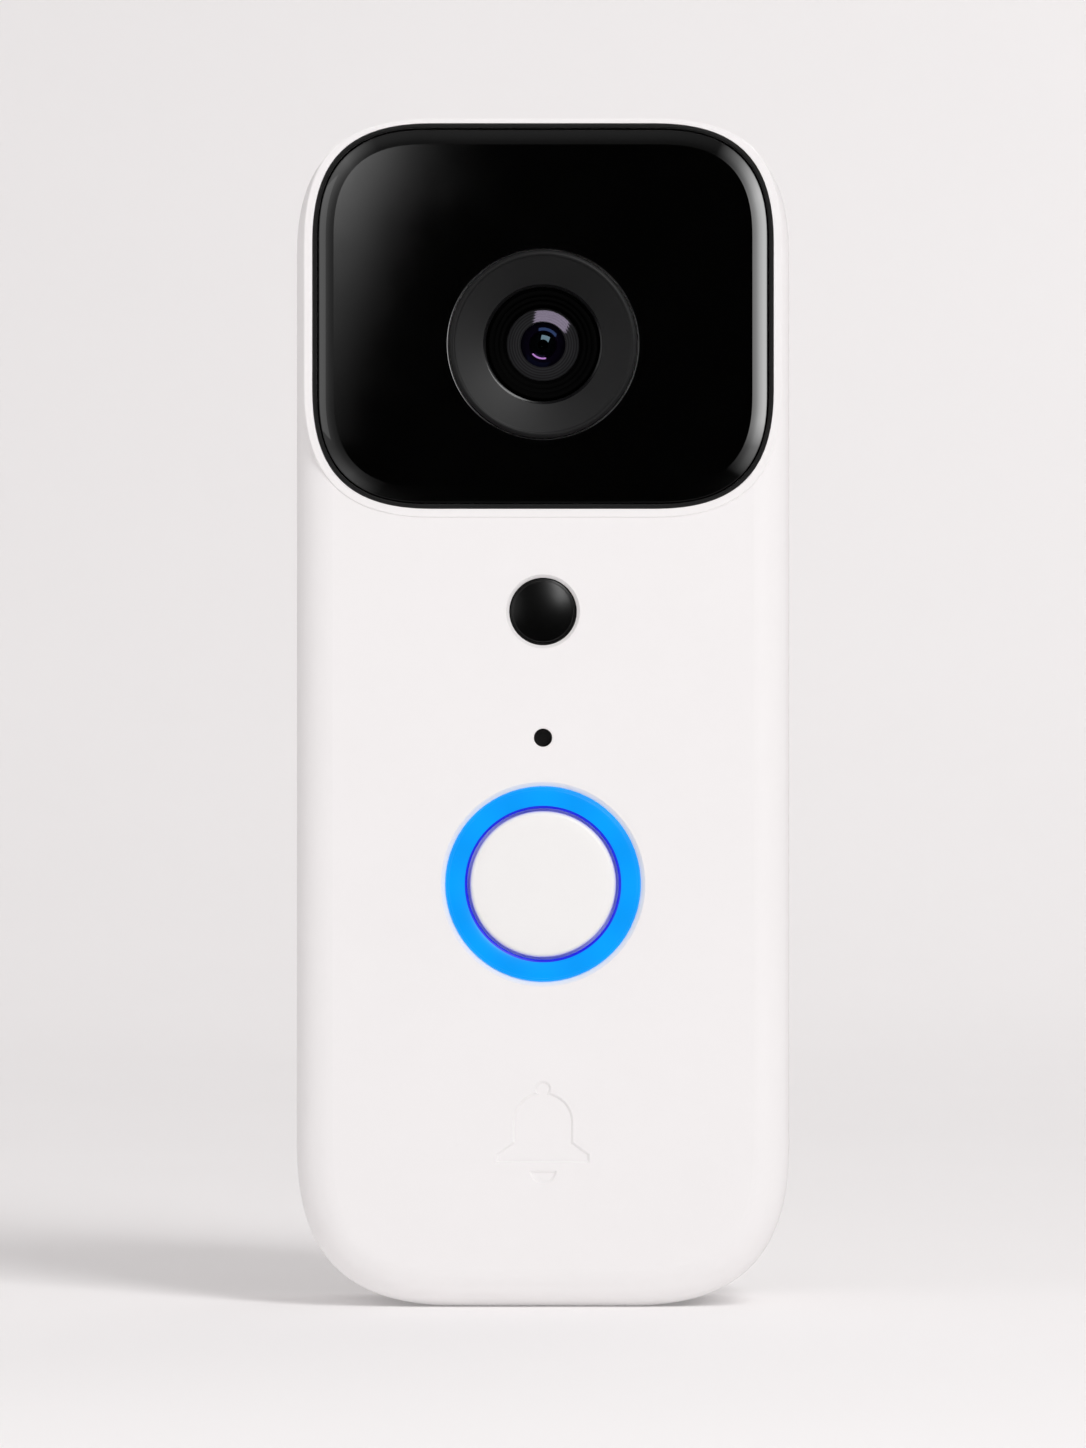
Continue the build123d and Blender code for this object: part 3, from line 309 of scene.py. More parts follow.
def flat_cable(name, film, tracks, pitch):
    """Polyimide or polyester flat cable: parallel conductors show through the film."""
    made, tree, shader, place = material(name, film, 0.25, Coat_Weight=0.5)
    lines = node(
        tree,
        "ShaderNodeTexWave",
        {"wave_type": "BANDS", "bands_direction": "X"},
        Vector=place,
        Scale=1 / pitch / WAVE_STRETCH,
    )
    step = node(
        tree,
        "ShaderNodeMapRange",
        {"interpolation_type": "SMOOTHSTEP"},
        Value=lines.outputs["Fac"],
        From_Min=MIDDLE_OF_WAVE[0],
        From_Max=MIDDLE_OF_WAVE[1],
    )
    conductor = step.outputs["Result"]
    two_toned(tree, shader, conductor, linear(film), linear(tracks))
    embossed(tree, shader, conductor, 0.02 * MM, 0.4)
    return made


def wire_pair(name, first, second, between):
    """Extruded silicone insulation in two colours, parted at the x of the gap between wires."""
    made, tree, shader, place = material(name, first, 0.45)
    across = node(tree, "ShaderNodeSeparateXYZ", Vector=place)
    side = node(
        tree,
        "ShaderNodeMath",
        {"operation": "GREATER_THAN"},
        _0=across.outputs["X"],
        _1=between,
    )
    two_toned(tree, shader, side.outputs["Value"], linear(first), linear(second))
    skin = node(tree, "ShaderNodeTexNoise", Vector=place, Scale=1 / (0.4 * MM))
    embossed(tree, shader, skin.outputs["Fac"], 0.01 * MM, 0.4)
    return made


def foam(name, first, second):
    """Open-cell foam: pores about a third of a millimetre wide, with painted shade that darkens
    each pore towards its middle.
    """
    made, tree, shader, place = material(name, first, 0.9)
    pores = node(tree, "ShaderNodeTexVoronoi", Vector=place, Scale=1 / (0.35 * MM))
    distance = pores.outputs["Distance"]
    # Painted shade: the colour darkens towards each pore's middle, where the bump sinks it
    # deepest.
    two_toned(tree, shader, distance, linear(second), linear(first))
    embossed(tree, shader, distance, 0.1 * MM, 0.8, {"invert": True})
    return made


def lit_diffuser():
    """Milky polycarbonate light guide, lit from behind by eight lamps: saturated blue with a
    gentle rise in brightness over each lamp."""
    made, tree, shader, place = material(
        "lit_polycarbonate_diffuser", "001040", 0.3, Specular_IOR_Level=0.3
    )
    centred = node(
        tree, "ShaderNodeMapping", Vector=place, Location=(-BUTTON.x, 0.0, -BUTTON.z)
    )
    parts = node(tree, "ShaderNodeSeparateXYZ", Vector=centred.outputs["Vector"])
    bearing = node(
        tree,
        "ShaderNodeMath",
        {"operation": "ARCTAN2"},
        _0=parts.outputs["Z"],
        _1=parts.outputs["X"],
    )
    eighth = node(
        tree,
        "ShaderNodeMath",
        {"operation": "MULTIPLY"},
        _0=bearing.outputs["Value"],
        _1=RING_LAMPS,
    )
    swell = node(tree, "ShaderNodeMath", {"operation": "COSINE"}, _0=eighth.outputs["Value"])
    glow = node(
        tree,
        "ShaderNodeMapRange",
        Value=swell.outputs["Value"],
        From_Min=-1.0,
        From_Max=1.0,
        To_Min=0.93,
        To_Max=1.03,
    )
    shader.inputs["Emission Color"].default_value = linear("00A0FF")
    tree.links.new(glow.outputs["Result"], shader.inputs["Emission Strength"])
    return made


# ---------------------------------------------------------------- finishes of the front

WHITE_SHELL = moulded("fine_grained_white_asa", "F2F0F0", "EFEDED", 0.42)
WHITE_CAP = moulded("satin_white_polycarbonate", "F3F2F1", "F0EFEE", 0.34, 0.1 * MM, 0.002 * MM)
BLACK_WINDOW = polished("polished_black_polycarbonate", "020202", "040404", IOR=1.58)
BLACK_SENSOR = moulded("infrared_clear_black_polyethylene", "030303", "060606", 0.34, 0.1 * MM)
BLACK_GASKET = rubber("moulded_black_silicone", "060606", "0B0B0B")
BLACK_TRIM = blasted("blasted_black_anodised_aluminium", "161617", "1A1A1B", 0.5)
BRIGHT_CUT = polished("diamond_cut_black_edge", "0A0A0B", "101011", 0.22)
BLACK_BARREL = ringed(
    "turned_blackened_barrel",
    "000000",
    "020202",
    LENS,
    0.3 * MM,
    0.7,
    Specular_IOR_Level=0.06,
)
CROWN_GLASS = ringed(
    "violet_coated_crown_glass",
    "232324",
    "333436",
    LENS,
    0.14 * MM,
    0.07,
    Specular_Tint=linear("DCCBEB"),
)
BLUE_GLASS = polished(
    "blue_coated_flint_glass",
    "07060E",
    "0D0818",
    Specular_IOR_Level=0.2,
    Specular_Tint=linear("7FA8FF"),
)
CYAN_GLASS = polished(
    "cyan_coated_flint_glass",
    "020304",
    "040608",
    Specular_IOR_Level=0.45,
    Specular_Tint=linear("BFEAFF"),
)
MAGENTA_GLASS = polished(
    "magenta_coated_bevel", "05020A", "080410", IOR=1.9, Specular_Tint=linear("D89AF0")
)
LIT_BLUE = lit_diffuser()
# Darker, dimmer copy of the ring's lit blue for the ring's inner edge: painted shade of the gap
# round the cap, with a faint blue glow.
GAP_SHADE_BLUE = moulded(
    "ring_edge_blue_with_painted_gap_shade",
    "0008A0",
    "0010B0",
    0.4,
    Emission_Color=linear("0614D8"),
    Emission_Strength=0.6,
)

WHITE_SILICONE = rubber("translucent_white_silicone", "C9CBCD", "B9BBBE")
SPRING_STEEL = plated("blued_spring_steel", "5C6474", "474E5C", 0.3)

# ---------------------------------------------------------------- modelling

TURN_STEPS = 144
SAME_POINT = 0.001 * MM


def deselect():
    bpy.ops.object.select_all(action="DESELECT")


def ready(piece, name, body, replaced, *finishes, angle=25):
    """Smooths a piece, coats it and hands it to the frame in place of the CAD node."""
    piece.name = name
    bpy.ops.object.transform_apply(location=True, rotation=True, scale=True)
    bpy.ops.object.shade_smooth_by_angle(angle=radians(angle))
    for finish in finishes:
        piece.data.materials.append(finish)
    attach(piece, body)
    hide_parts(replaced)
    return piece


def soften(piece, width, segments=3, angle=28):
    """Rounds every edge sharper than the angle."""
    rounding = piece.modifiers.new("rounding", "BEVEL")
    rounding.width = width
    rounding.segments = segments
    rounding.limit_method = "ANGLE"
    rounding.angle_limit = radians(angle)
    bpy.ops.object.modifier_apply(modifier=rounding.name)


def drawn(start, moves):
    """Draws a line from the start, one extruded point per move, and leaves it selected in
    edit mode."""
    deselect()
    bpy.ops.mesh.primitive_plane_add(size=MM, location=start)
    line = bpy.context.object
    bpy.ops.object.transform_apply(location=True, rotation=True, scale=True)
    bpy.ops.object.mode_set(mode="EDIT")
    bpy.ops.mesh.select_all(action="SELECT")
    bpy.ops.mesh.merge(type="CENTER")
    for move in moves:
        bpy.ops.mesh.extrude_region_move(TRANSFORM_OT_translate={"value": move})
    bpy.ops.mesh.select_all(action="SELECT")
    return line


def turned(axis_at, profile, rounding=0.0):
    """Draws a profile of (radius, depth) points and spins it about the depth axis. It starts
    and ends on the axis or closes on itself, so the piece is solid."""
    radius, depth = profile[0]
    moves = [(end[0] - at[0], end[1] - at[1], 0.0) for at, end in zip(profile, profile[1:])]
    piece = drawn((axis_at.x + radius, depth, axis_at.z), moves)
    bpy.ops.mesh.remove_doubles(threshold=SAME_POINT)
    bpy.ops.mesh.spin(
        steps=TURN_STEPS,
        angle=2 * pi,
        center=(axis_at.x, 0.0, axis_at.z),
        axis=(0.0, 1.0, 0.0),
    )
    bpy.ops.mesh.select_all(action="SELECT")
    bpy.ops.mesh.remove_doubles(threshold=SAME_POINT)
    bpy.ops.mesh.normals_make_consistent(inside=False)
    bpy.ops.object.mode_set(mode="OBJECT")
    if rounding:
        soften(piece, rounding)
    return piece


def dome(apex, ball, inner, outer, steps=12):
    """Points of a ball's cap from one radius to another, as (radius, depth)."""
    start, end = asin(inner / ball), asin(outer / ball)
    points = []
    for step in range(steps + 1):
        angle = start + (end - start) * step / steps
        points.append((ball * sin(angle), apex + ball * (1 - cos(angle))))
    return points


def radius_from(axis_at, point):
    return sqrt((point.x - axis_at.x) ** 2 + (point.z - axis_at.z) ** 2)


def closed(*profile):
    return [*profile, profile[0]]


def in_mm(*points):
    return [(first * MM, second * MM) for first, second in points]


# ---------------------------------------------------------------- camera window

CORNER_REACH = 12.23 * MM
CORNER_PROFILE = 0.576  # corner bevel a little softer than an arc
BORDER = 1.8 * MM  # width of the rolled border round the flat pane
BORDER_FALL = 0.95 * MM
BORDER_END = radians(67)  # where the border's elliptic arc meets the pane, in a crisp crease
BORDER_RINGS = 14
TRIM_HOLE = 10.42 * MM  # radius of the opening that the trim ring fills
CUTTER_SIDES = 256
CUTTER_LENGTH = 10 * MM
PANE_EDGE = 0.08 * MM


def window_pane():
    """Dead flat pane, a crisp crease, and a border that rolls off into the gasket: a plane with
    eased corners is extruded, and insets raise its face ring by ring."""
    low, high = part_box("camera_window")
    middle = (low + high) / 2
    deselect()
    bpy.ops.mesh.primitive_plane_add(
        size=1, location=(middle.x, high.y, middle.z), rotation=(pi / 2, 0, 0)
    )
    pane = bpy.context.object
    pane.scale = (high.x - low.x, high.z - low.z, 1)
    bpy.ops.object.transform_apply(location=True, rotation=True, scale=True)
    bpy.ops.object.mode_set(mode="EDIT")
    bpy.ops.mesh.select_all(action="SELECT")
    bpy.ops.mesh.bevel(
        offset=CORNER_REACH, segments=24, affect="VERTICES", profile=CORNER_PROFILE
    )
    bpy.ops.mesh.select_all(action="SELECT")
    forward = low.y + BORDER_FALL - high.y
    bpy.ops.mesh.extrude_region_move(TRANSFORM_OT_translate={"value": (0, forward, 0)})
    across, raised = 0.0, 0.0
    for ring in range(1, BORDER_RINGS + 1):
        angle = BORDER_END * ring / BORDER_RINGS
        next_across = BORDER * (1 - cos(angle)) / (1 - cos(BORDER_END))
        next_raised = BORDER_FALL * sin(angle) / sin(BORDER_END)
        bpy.ops.mesh.inset(thickness=next_across - across, depth=next_raised - raised)
        across, raised = next_across, next_raised
    bpy.ops.mesh.select_all(action="SELECT")
    bpy.ops.mesh.normals_make_consistent(inside=False)
    bpy.ops.object.mode_set(mode="OBJECT")
    deselect()
    bpy.ops.mesh.primitive_cylinder_add(
        vertices=CUTTER_SIDES,
        radius=TRIM_HOLE,
        depth=CUTTER_LENGTH,
        location=(LENS.x, middle.y, LENS.z),
        rotation=(pi / 2, 0, 0),
    )
    cutter = bpy.context.object
    deselect()
    pane.select_set(True)
    bpy.context.view_layer.objects.active = pane
    hole = pane.modifiers.new("trim_hole", "BOOLEAN")
    hole.object = cutter
    bpy.ops.object.modifier_apply(modifier=hole.name)
    bpy.data.objects.remove(cutter)
    soften(pane, PANE_EDGE, segments=2, angle=60)
    return ready(pane, "window_pane", "housing", "camera_window", BLACK_WINDOW, angle=6)


# ---------------------------------------------------------------- camera

TRIM_LIP = (6.5 * MM, -13.0 * MM)  # the lip lies inside this radius and in front of this depth
PUPIL_EDGE = 0.58 * MM
CYAN_EDGE = 1.385 * MM
MAGENTA_EDGE = 1.58 * MM


def trim_ring():
    """Matt funnel with a narrow outer chamfer and a rounded inner lip."""
    profile = in_mm(
        (10.3, -11.45),
        (10.3, -13.72),
        (9.98, -14.0),
        (9.76, -14.0),
        (9.6, -13.87),
        (6.56, -13.35),
        (6.26, -13.22),
        (6.26, -12.0),
        (8.4, -12.0),
        (8.4, -11.45),
    )
    ring = turned(LENS, closed(*profile), 0.05 * MM)
    for face in ring.data.polygons:
        inside = radius_from(LENS, face.center) < TRIM_LIP[0]
        face.material_index = int(inside and face.center.y < TRIM_LIP[1])
    ready(ring, "lens_trim", "housing", "lens_trim_ring", BLACK_TRIM, BRIGHT_CUT, angle=40)


def barrel():
    """Stepped glare baffles that lead from the front edge down to the glass."""
    profile = in_mm(
        (6.0, -3.6),
        (6.0, -12.6),
        (5.9, -12.7),
        (5.4, -12.7),
        (5.25, -12.45),
        (4.9, -12.45),
        (4.75, -12.2),
        (4.4, -12.2),
        (4.2, -11.95),
        (4.06, -11.7),
        (4.06, -10.3),
        (2.6, -10.3),
        (2.6, -8.1),
        (3.05, -8.1),
        (3.05, -3.6),
    )
    tube = turned(LENS, closed(*profile), 0.04 * MM)
    ready(tube, "lens_baffles", "housing", "lens_barrel", BLACK_BARREL, angle=40)


def front_glass():
    """First element: its coated border is all that stands clear of the inner stack."""
    back = -10.35 * MM
    face = dome(-12.3 * MM, 10.0 * MM, 2.46 * MM, 4.0 * MM)
    border = turned(LENS, closed((2.46 * MM, back), *face, (4.0 * MM, back)), 0.03 * MM)
    return ready(border, "front_glass", "housing", "lens_front", CROWN_GLASS, angle=30)


def middle_glass():
    """Inner stack, coated blue, magenta and cyan from the outside in, round the dark pupil."""
    back = -10.1 * MM
    outer = dome(-11.75 * MM, 5.3 * MM, 1.58 * MM, 2.44 * MM)
    bevel = in_mm((1.58, -11.52), (1.5, -11.487), (1.4, -11.445))
    heart = dome(-11.6 * MM, 2.4 * MM, 0.6 * MM, 1.38 * MM)
    pupil = in_mm((0.57, -11.4), (0.57, -10.1))
    inner = [*reversed(heart)]
    profile = [(2.44 * MM, back), *reversed(outer), *bevel, *inner, *pupil]
    stack = turned(LENS, closed(*profile))
    for face in stack.data.polygons:
        radius = radius_from(LENS, face.center)
        if CYAN_EDGE < radius < MAGENTA_EDGE:
            face.material_index = 1
        elif PUPIL_EDGE < radius < CYAN_EDGE:
            face.material_index = 2
    return ready(
        stack,
        "inner_glass",
        "housing",
        "lens_middle",
        BLUE_GLASS,
        MAGENTA_GLASS,
        CYAN_GLASS,
        angle=12,
    )


# ---------------------------------------------------------------- sensor, ring and button

RING_INNER_EDGE = 8.5 * MM


def sensor_dome():
    """Glossy low dome with a thin step at its rim."""
    back = -10.9 * MM
    crown = dome(-13.75 * MM, 8.6 * MM, 0.0, 3.3 * MM, 16)
    profile = [
        *crown,
        *in_mm((3.36, -13.02), (3.55, -12.95), (3.55, -10.95), (4.6, -10.95), (4.6, -10.2)),
        *in_mm((3.1, -10.2), (3.1, -12.2), (0.0, -12.8)),
    ]
    window = turned(PIR, profile, 0.03 * MM)
    ready(window, "motion_window", "housing", "pir_lens", BLACK_SENSOR, angle=30)


def glowing_ring():
    """Light guide with a softly crowned face and a fine step just inside its outer edge."""
    profile = in_mm(
        (8.3, -11.4),
        (8.3, -12.6),
        (8.36, -12.82),
        (8.56, -12.91),
        (8.75, -12.97),
        (9.3, -13.06),
        (9.9, -13.09),
        (10.28, -13.07),
        (10.33, -13.0),
        (10.5, -12.98),
        (10.64, -12.8),
        (10.64, -10.95),
        (12.2, -10.95),
        (12.2, -9.9),
        (10.64, -9.9),
        (10.64, -7.6),
        (9.2, -7.6),
        (9.2, -11.4),
    )
    ring = turned(BUTTON, closed(*profile), 0.03 * MM)
    # Faces inside the inner edge take the darker blue: painted shade in the gap round the cap.
    for face in ring.data.polygons:
        face.material_index = int(radius_from(BUTTON, face.center) < RING_INNER_EDGE)
    ready(ring, "glowing_ring", "housing", "light_ring", LIT_BLUE, GAP_SHADE_BLUE, angle=35)


def push_cap():
    """Cap with a barely crowned face, a rounded shoulder and a retaining skirt."""
    crown = dome(-13.2 * MM, 900 * MM, 0.0, 7.5 * MM, 6)
    profile = [
        *crown,
        *in_mm((7.72, -13.1), (7.88, -12.95), (7.97, -12.7), (8.0, -12.4), (8.0, -11.35)),
        *in_mm((8.9, -11.35), (8.9, -10.9), (6.0, -10.9), (6.0, -11.8), (2.2, -11.8)),
        *in_mm((2.2, -10.85), (0.0, -10.85)),
    ]
    cap = turned(BUTTON, profile)
    ready(cap, "push_cap", "button", "button_cap", WHITE_CAP, angle=35)


# ---------------------------------------------------------------- pieces that give way

SPRING_FOLDS = in_mm((-4.3, 11.85), (-2.2, 9.15), (0.0, 11.85), (2.2, 9.15), (4.3, 11.85))
FOLD_REACH = 0.6 * MM
STRIP_THICKNESS = 0.2 * MM


def seal_membrane():
    """Silicone membrane with a cone-shaped web, which the cap presses flatter."""
    profile = in_mm(
        (0.0, -10.8),
        (2.6, -10.8),
        (4.0, -9.7),
        (8.3, -9.7),
        (8.3, -9.9),
        (9.15, -9.9),
        (9.15, -9.0),
        (8.3, -9.0),
        (8.3, -9.3),
        (3.8, -9.3),
        (2.4, -10.4),
        (0.0, -10.4),
    )
    sheet = turned(BUTTON, profile, 0.06 * MM)
    ready(sheet, "seal_membrane", "housing", "button_membrane", WHITE_SILICONE, angle=40)
    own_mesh(sheet)


def latch_strip():
    """Spring steel strip in three folds, which the latch squeezes as it is lifted."""
    low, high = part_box("latch_spring")
    x, z = SPRING_FOLDS[0]
    folds = zip(SPRING_FOLDS, SPRING_FOLDS[1:])
    strip = drawn((x, low.y, z), [(end[0] - at[0], 0.0, end[1] - at[1]) for at, end in folds])
    across = (0.0, high.y - low.y, 0.0)
    bpy.ops.mesh.extrude_region_move(TRANSFORM_OT_translate={"value": across})
    bpy.ops.object.mode_set(mode="OBJECT")
    soften(strip, FOLD_REACH, segments=6)
    rolled = strip.modifiers.new("rolled", "SOLIDIFY")
    rolled.thickness = STRIP_THICKNESS
    rolled.offset = 0.0
    bpy.ops.object.modifier_apply(modifier=rolled.name)
    ready(strip, "latch_strip", "housing", "latch_spring", SPRING_STEEL, angle=40)
    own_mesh(strip)


pane = window_pane()
trim_ring()
barrel()
lens_glass = [front_glass(), middle_glass()]
sensor_dome()
glowing_ring()
push_cap()
seal_membrane()
latch_strip()

# ---------------------------------------------------------------- finishes of the CAD nodes

TIN = plated("matt_tin_plated_steel", "C2C3C4", "A9AAAD", 0.36)
ZINC = plated("black_zinc_plated_steel", "3A3A3D", "2A2A2C", 0.4)
NICKEL = plated("nickel_plated_steel", "CFCBC4", "B3AFA8", 0.26)
BRASS = plated("turned_brass", "C9A356", "A98544", 0.3)
BOARD = circuit_board("green_solder_masked_board", "0E3B26", "1C5B3C")
BLACK_BOARD = circuit_board("black_solder_masked_board", "101214", "23272A")
EPOXY = moulded("moulded_chip_epoxy", "161617", "1D1D1E", 0.55, 0.08 * MM)
IVORY_NYLON = moulded("moulded_ivory_nylon", "D9D2BF", "CCC4AE", 0.5)
BLACK_NYLON = moulded("moulded_black_nylon", "141415", "1A1A1B", 0.5)
GREY_ASA = moulded("grained_pale_grey_asa", "D9D8D6", "D2D1CF", 0.55, 0.25 * MM, 0.006 * MM)
GREY_FOAM = foam("open_cell_grey_foam", "4A4A4C", "1C1C1D")
# Thread and gap colours are darker than black cloth. They are partly the mesh's own black and
# partly painted shade at the bottom of the microphone hole.
MESH = woven("woven_black_acoustic_mesh_in_painted_shade", "0D0D0E", "020202", 0.12 * MM)
AMBER_FLEX = flat_cable("polyimide_flat_cable", "A8631C", "D08A35", 0.5 * MM)
WHITE_FLEX = flat_cable("polyester_flat_cable", "D8DADC", "9FA4AA", 0.8 * MM)
BATTERY_WIRE_GAP = -12.5 * MM
SPEAKER_WIRE_GAP = -8.2 * MM

FINISHES = {
    "front_shell": WHITE_SHELL,
    "rear_shell": WHITE_SHELL,
    "window_gasket": BLACK_GASKET,
    "case_seal": rubber("moulded_grey_silicone", "3C3D3F", "47484A"),
    "case_screws": ZINC,
    "board_screws": NICKEL,
    "lens_rear": polished(
        "green_coated_rear_glass", "04100C", "081812", Specular_Tint=linear("9FE8C0")
    ),
    "lens_iris": moulded("blackened_iris_plate", "050505", "0A0A0A", 0.7),
    "lens_holder": BLACK_NYLON,
    "ir_cut_filter": polished(
        "dichroic_filter_glass", "2A0C14", "34101A", Specular_Tint=linear("6FE0E8")
    ),
    "image_sensor": polished("sensor_cover_glass", "0C1220", "1A1030", 0.06),
    "sensor_board": BLACK_BOARD,
    "ir_board": BLACK_BOARD,
    "camera_flex": AMBER_FLEX,
    "ir_lamps": polished("smoked_epoxy_lamps", "14060C", "1C0A12", 0.08),
    "light_sensor": polished("clear_sensor_epoxy", "3A3628", "4A4430", 0.1),
    "pir_sensor": plated("nickel_plated_sensor_can", "C6C2BA", "ABA79F", 0.3),
    "mic_mesh": MESH,
    "mic_boot": rubber("moulded_microphone_boot", "161617", "1E1E1F"),
    "microphone": plated("gold_flashed_microphone_lid", "D8B765", "BE9B4C", 0.3),
    "switch_plunger": BLACK_NYLON,
    "button_switch": plated("stainless_switch_frame", "B7B8BA", "9C9DA0", 0.34),
    "ring_lamps": moulded("phosphor_filled_lamps", "D9C24A", "E4D06A", 0.4),
    "main_board": BOARD,
    "shield_cans": TIN,
    "board_chips": EPOXY,
    "board_sockets": IVORY_NYLON,
    "wifi_antenna": flat_cable("printed_aerial_film", "2A2B2D", "B87A3C", 2.4 * MM),
    "antenna_cable": moulded("extruded_grey_coaxial_jacket", "55575A", "4B4D50", 0.45),
    "battery": pouch_foil(),
    "battery_pad": GREY_FOAM,
    "battery_leads": wire_pair("red_and_black_wires", "A5161A", "121213", BATTERY_WIRE_GAP),
    "power_board": BOARD,
    "power_capacitors": plated("aluminium_capacitor_cans", "C9CACC", "B4B5B8", 0.32),
    "power_ribbon": WHITE_FLEX,
    "usb_socket": plated("drawn_stainless_socket", "BFC0C2", "A5A6A9", 0.3),
    "usb_flap": rubber("moulded_pale_grey_tpu", "B4B3B1", "A9A8A6"),
    "hinge_pin": plated("ground_stainless_pin", "C8C8CA", "AFAFB2", 0.22),
    "reset_button": rubber("moulded_reset_tpu", "8E8D8B", "838280"),
    "reset_switch": BLACK_NYLON,
    "terminal_inserts": BRASS,
    "terminal_plates": plated("tinned_brass_terminals", "C7BFA8", "AEA68F", 0.34),
    "terminal_screws": NICKEL,
    "speaker_frame": BLACK_NYLON,
    "speaker_cone": moulded("pressed_polyester_cone", "1B1B1D", "232326", 0.35, 0.3 * MM),
    "speaker_magnet": plated("nickel_plated_magnet_cup", "B9B7B2", "9D9B96", 0.3),
    "speaker_gasket": foam("closed_cell_black_foam", "1C1C1D", "080808"),
    "speaker_leads": wire_pair(
        "blue_and_white_wires", "1F3E8A", "D4D2CC", SPEAKER_WIRE_GAP
    ),
    "wall_plate": GREY_ASA,
    "release_latch": moulded("moulded_grey_acetal", "7F8082", "77787A", 0.4),
}
for node_name, finish in FINISHES.items():
    NODES[node_name].data.materials[0] = finish


# ---------------------------------------------------------------- stage, lights and camera

CAMERA_DISTANCE = 1.0
VIEW_HEIGHT = 158.1 * MM
EYE_HEIGHT = 63.8 * MM
SENSOR_HEIGHT = 36.0  # a full-frame sensor, in the camera's own millimetres
CHEST = (0, 0, 0.075)
FLOOR_SIZE = (6, 3.4)
# A hair under the foot, so that the two don't share a plane.
FLOOR_MIDDLE = (0, -0.9, -0.05 * MM)
CURVE_AXIS = (0, 0.8, 0.9)
WALL_RISE = 2.2


def studio_sweep():
    """Seamless paper: a flat floor that curves up into a wall behind the doorbell."""
    deselect()
    bpy.ops.mesh.primitive_plane_add(size=1, location=(0, 0, 0))
    sweep = bpy.context.object
    sweep.name = "studio_sweep"
    sweep.scale = (*FLOOR_SIZE, 1)
    sweep.location = FLOOR_MIDDLE
    bpy.ops.object.transform_apply(location=True, rotation=False, scale=True)
    bpy.ops.object.mode_set(mode="EDIT")
    bpy.ops.mesh.select_mode(type="EDGE")
    bpy.ops.mesh.select_all(action="DESELECT")
    bpy.ops.object.mode_set(mode="OBJECT")
    for edge in sweep.data.edges:
        edge.select = all(sweep.data.vertices[i].co.y > 0 for i in edge.vertices)
    bpy.ops.object.mode_set(mode="EDIT")
    bpy.ops.mesh.spin(steps=24, angle=-pi / 2, center=CURVE_AXIS, axis=(1, 0, 0))
    bpy.ops.mesh.extrude_region_move(TRANSFORM_OT_translate={"value": (0, 0, WALL_RISE)})
    bpy.ops.object.mode_set(mode="OBJECT")
    bpy.ops.object.shade_smooth()
    paper, tree, shader, place = material("seamless_paper", "EEECEC", 0.9)
    clouded(tree, shader, place, "EFEDED", "ECEAEA", 0.15)
    # The paper shows from its own side only, so the back and the underside can be looked at.
    behind = node(tree, "ShaderNodeNewGeometry").outputs["Backfacing"]
    clear = node(tree, "ShaderNodeBsdfTransparent")
    one_sided = node(
        tree,
        "ShaderNodeMixShader",
        Fac=behind,
        _1=shader.outputs["BSDF"],
        _2=clear.outputs["BSDF"],
    )
    surface = tree.nodes["Material Output"].inputs["Surface"]
    tree.links.new(one_sided.outputs["Shader"], surface)
    sweep.data.materials.append(paper)
    sweep.visible_glossy = False
    return sweep


def softbox(name, place, size, radiance, target=CHEST, roll=0.0):
    """A rectangular lamp of the given brightness, aimed at the target and rolled about its
    own axis, in degrees."""
    width, height = size
    light = bpy.data.lights.new(name, "AREA")
    light.shape = "RECTANGLE"
    light.size, light.size_y = width, height
    light.energy = radiance * pi * width * height
    lamp = bpy.data.objects.new(name, light)
    lamp.location = place
    aim = (Vector(target) - Vector(place)).to_track_quat("-Z", "Y")
    lamp.rotation_euler = (aim @ Quaternion((0, 0, 1), radians(roll))).to_euler()
    bpy.context.scene.collection.objects.link(lamp)
    return lamp


def lights_only(lamp, *pieces):
    """Limits a lamp to a few pieces, as flags and grids round a real lamp do."""
    lit = bpy.data.collections.new(lamp.name + "_lights")
    for piece in pieces:
        lit.objects.link(piece)
    lamp.light_linking.receiver_collection = lit


def spares(lamp, *pieces):
    """Keeps a lamp off a few pieces, which then don't mirror it."""
    spared = bpy.data.collections.new(lamp.name + "_spares")
    for piece in pieces:
        spared.objects.link(piece)
    for entry in spared.collection_objects:
        entry.light_linking.link_state = "EXCLUDE"
    lamp.light_linking.receiver_collection = spared


def reflector(lamp, *pieces):
    """A lamp that a few glossy pieces mirror, and that lights nothing else."""
    lights_only(lamp, *pieces)
    lamp.visible_diffuse = False


def around(azimuth, elevation, distance):
    """A place round the lens: azimuth from straight ahead to the right, both in degrees."""
    turn, rise = radians(azimuth), radians(elevation)
    ahead = Vector((sin(turn) * cos(rise), -cos(turn) * cos(rise), sin(rise)))
    return LENS + ahead * distance


CLOTH_EDGE = 0.3  # the mirrored light fades in as a direction's Y runs from -0.3 to 0.3


def surroundings(strength):
    """Even light from all round. Gloss mirrors it from behind only, fading out past the sides,
    as if black cloth hung round the camera, so that glossy black stays black."""
    world = bpy.data.worlds.new("studio")
    bpy.context.scene.world = world
    world.use_nodes = True
    tree = world.node_tree
    backdrop = tree.nodes["Background"]
    backdrop.inputs["Color"].default_value = linear("FFFCFC")
    heading = node(tree, "ShaderNodeTexCoord").outputs["Generated"]
    parts = node(tree, "ShaderNodeSeparateXYZ", Vector=heading)
    mirrored = node(
        tree,
        "ShaderNodeMapRange",
        Value=parts.outputs["Y"],
        From_Min=-CLOTH_EDGE,
        From_Max=CLOTH_EDGE,
        To_Min=0.0,
        To_Max=strength,
    )
    path = node(tree, "ShaderNodeLightPath")
    level = node(
        tree,
        "ShaderNodeMix",
        Factor=path.outputs["Is Glossy Ray"],
        _2=strength,
        _3=mirrored.outputs["Result"],
    )
    tree.links.new(level.outputs[0], backdrop.inputs["Strength"])


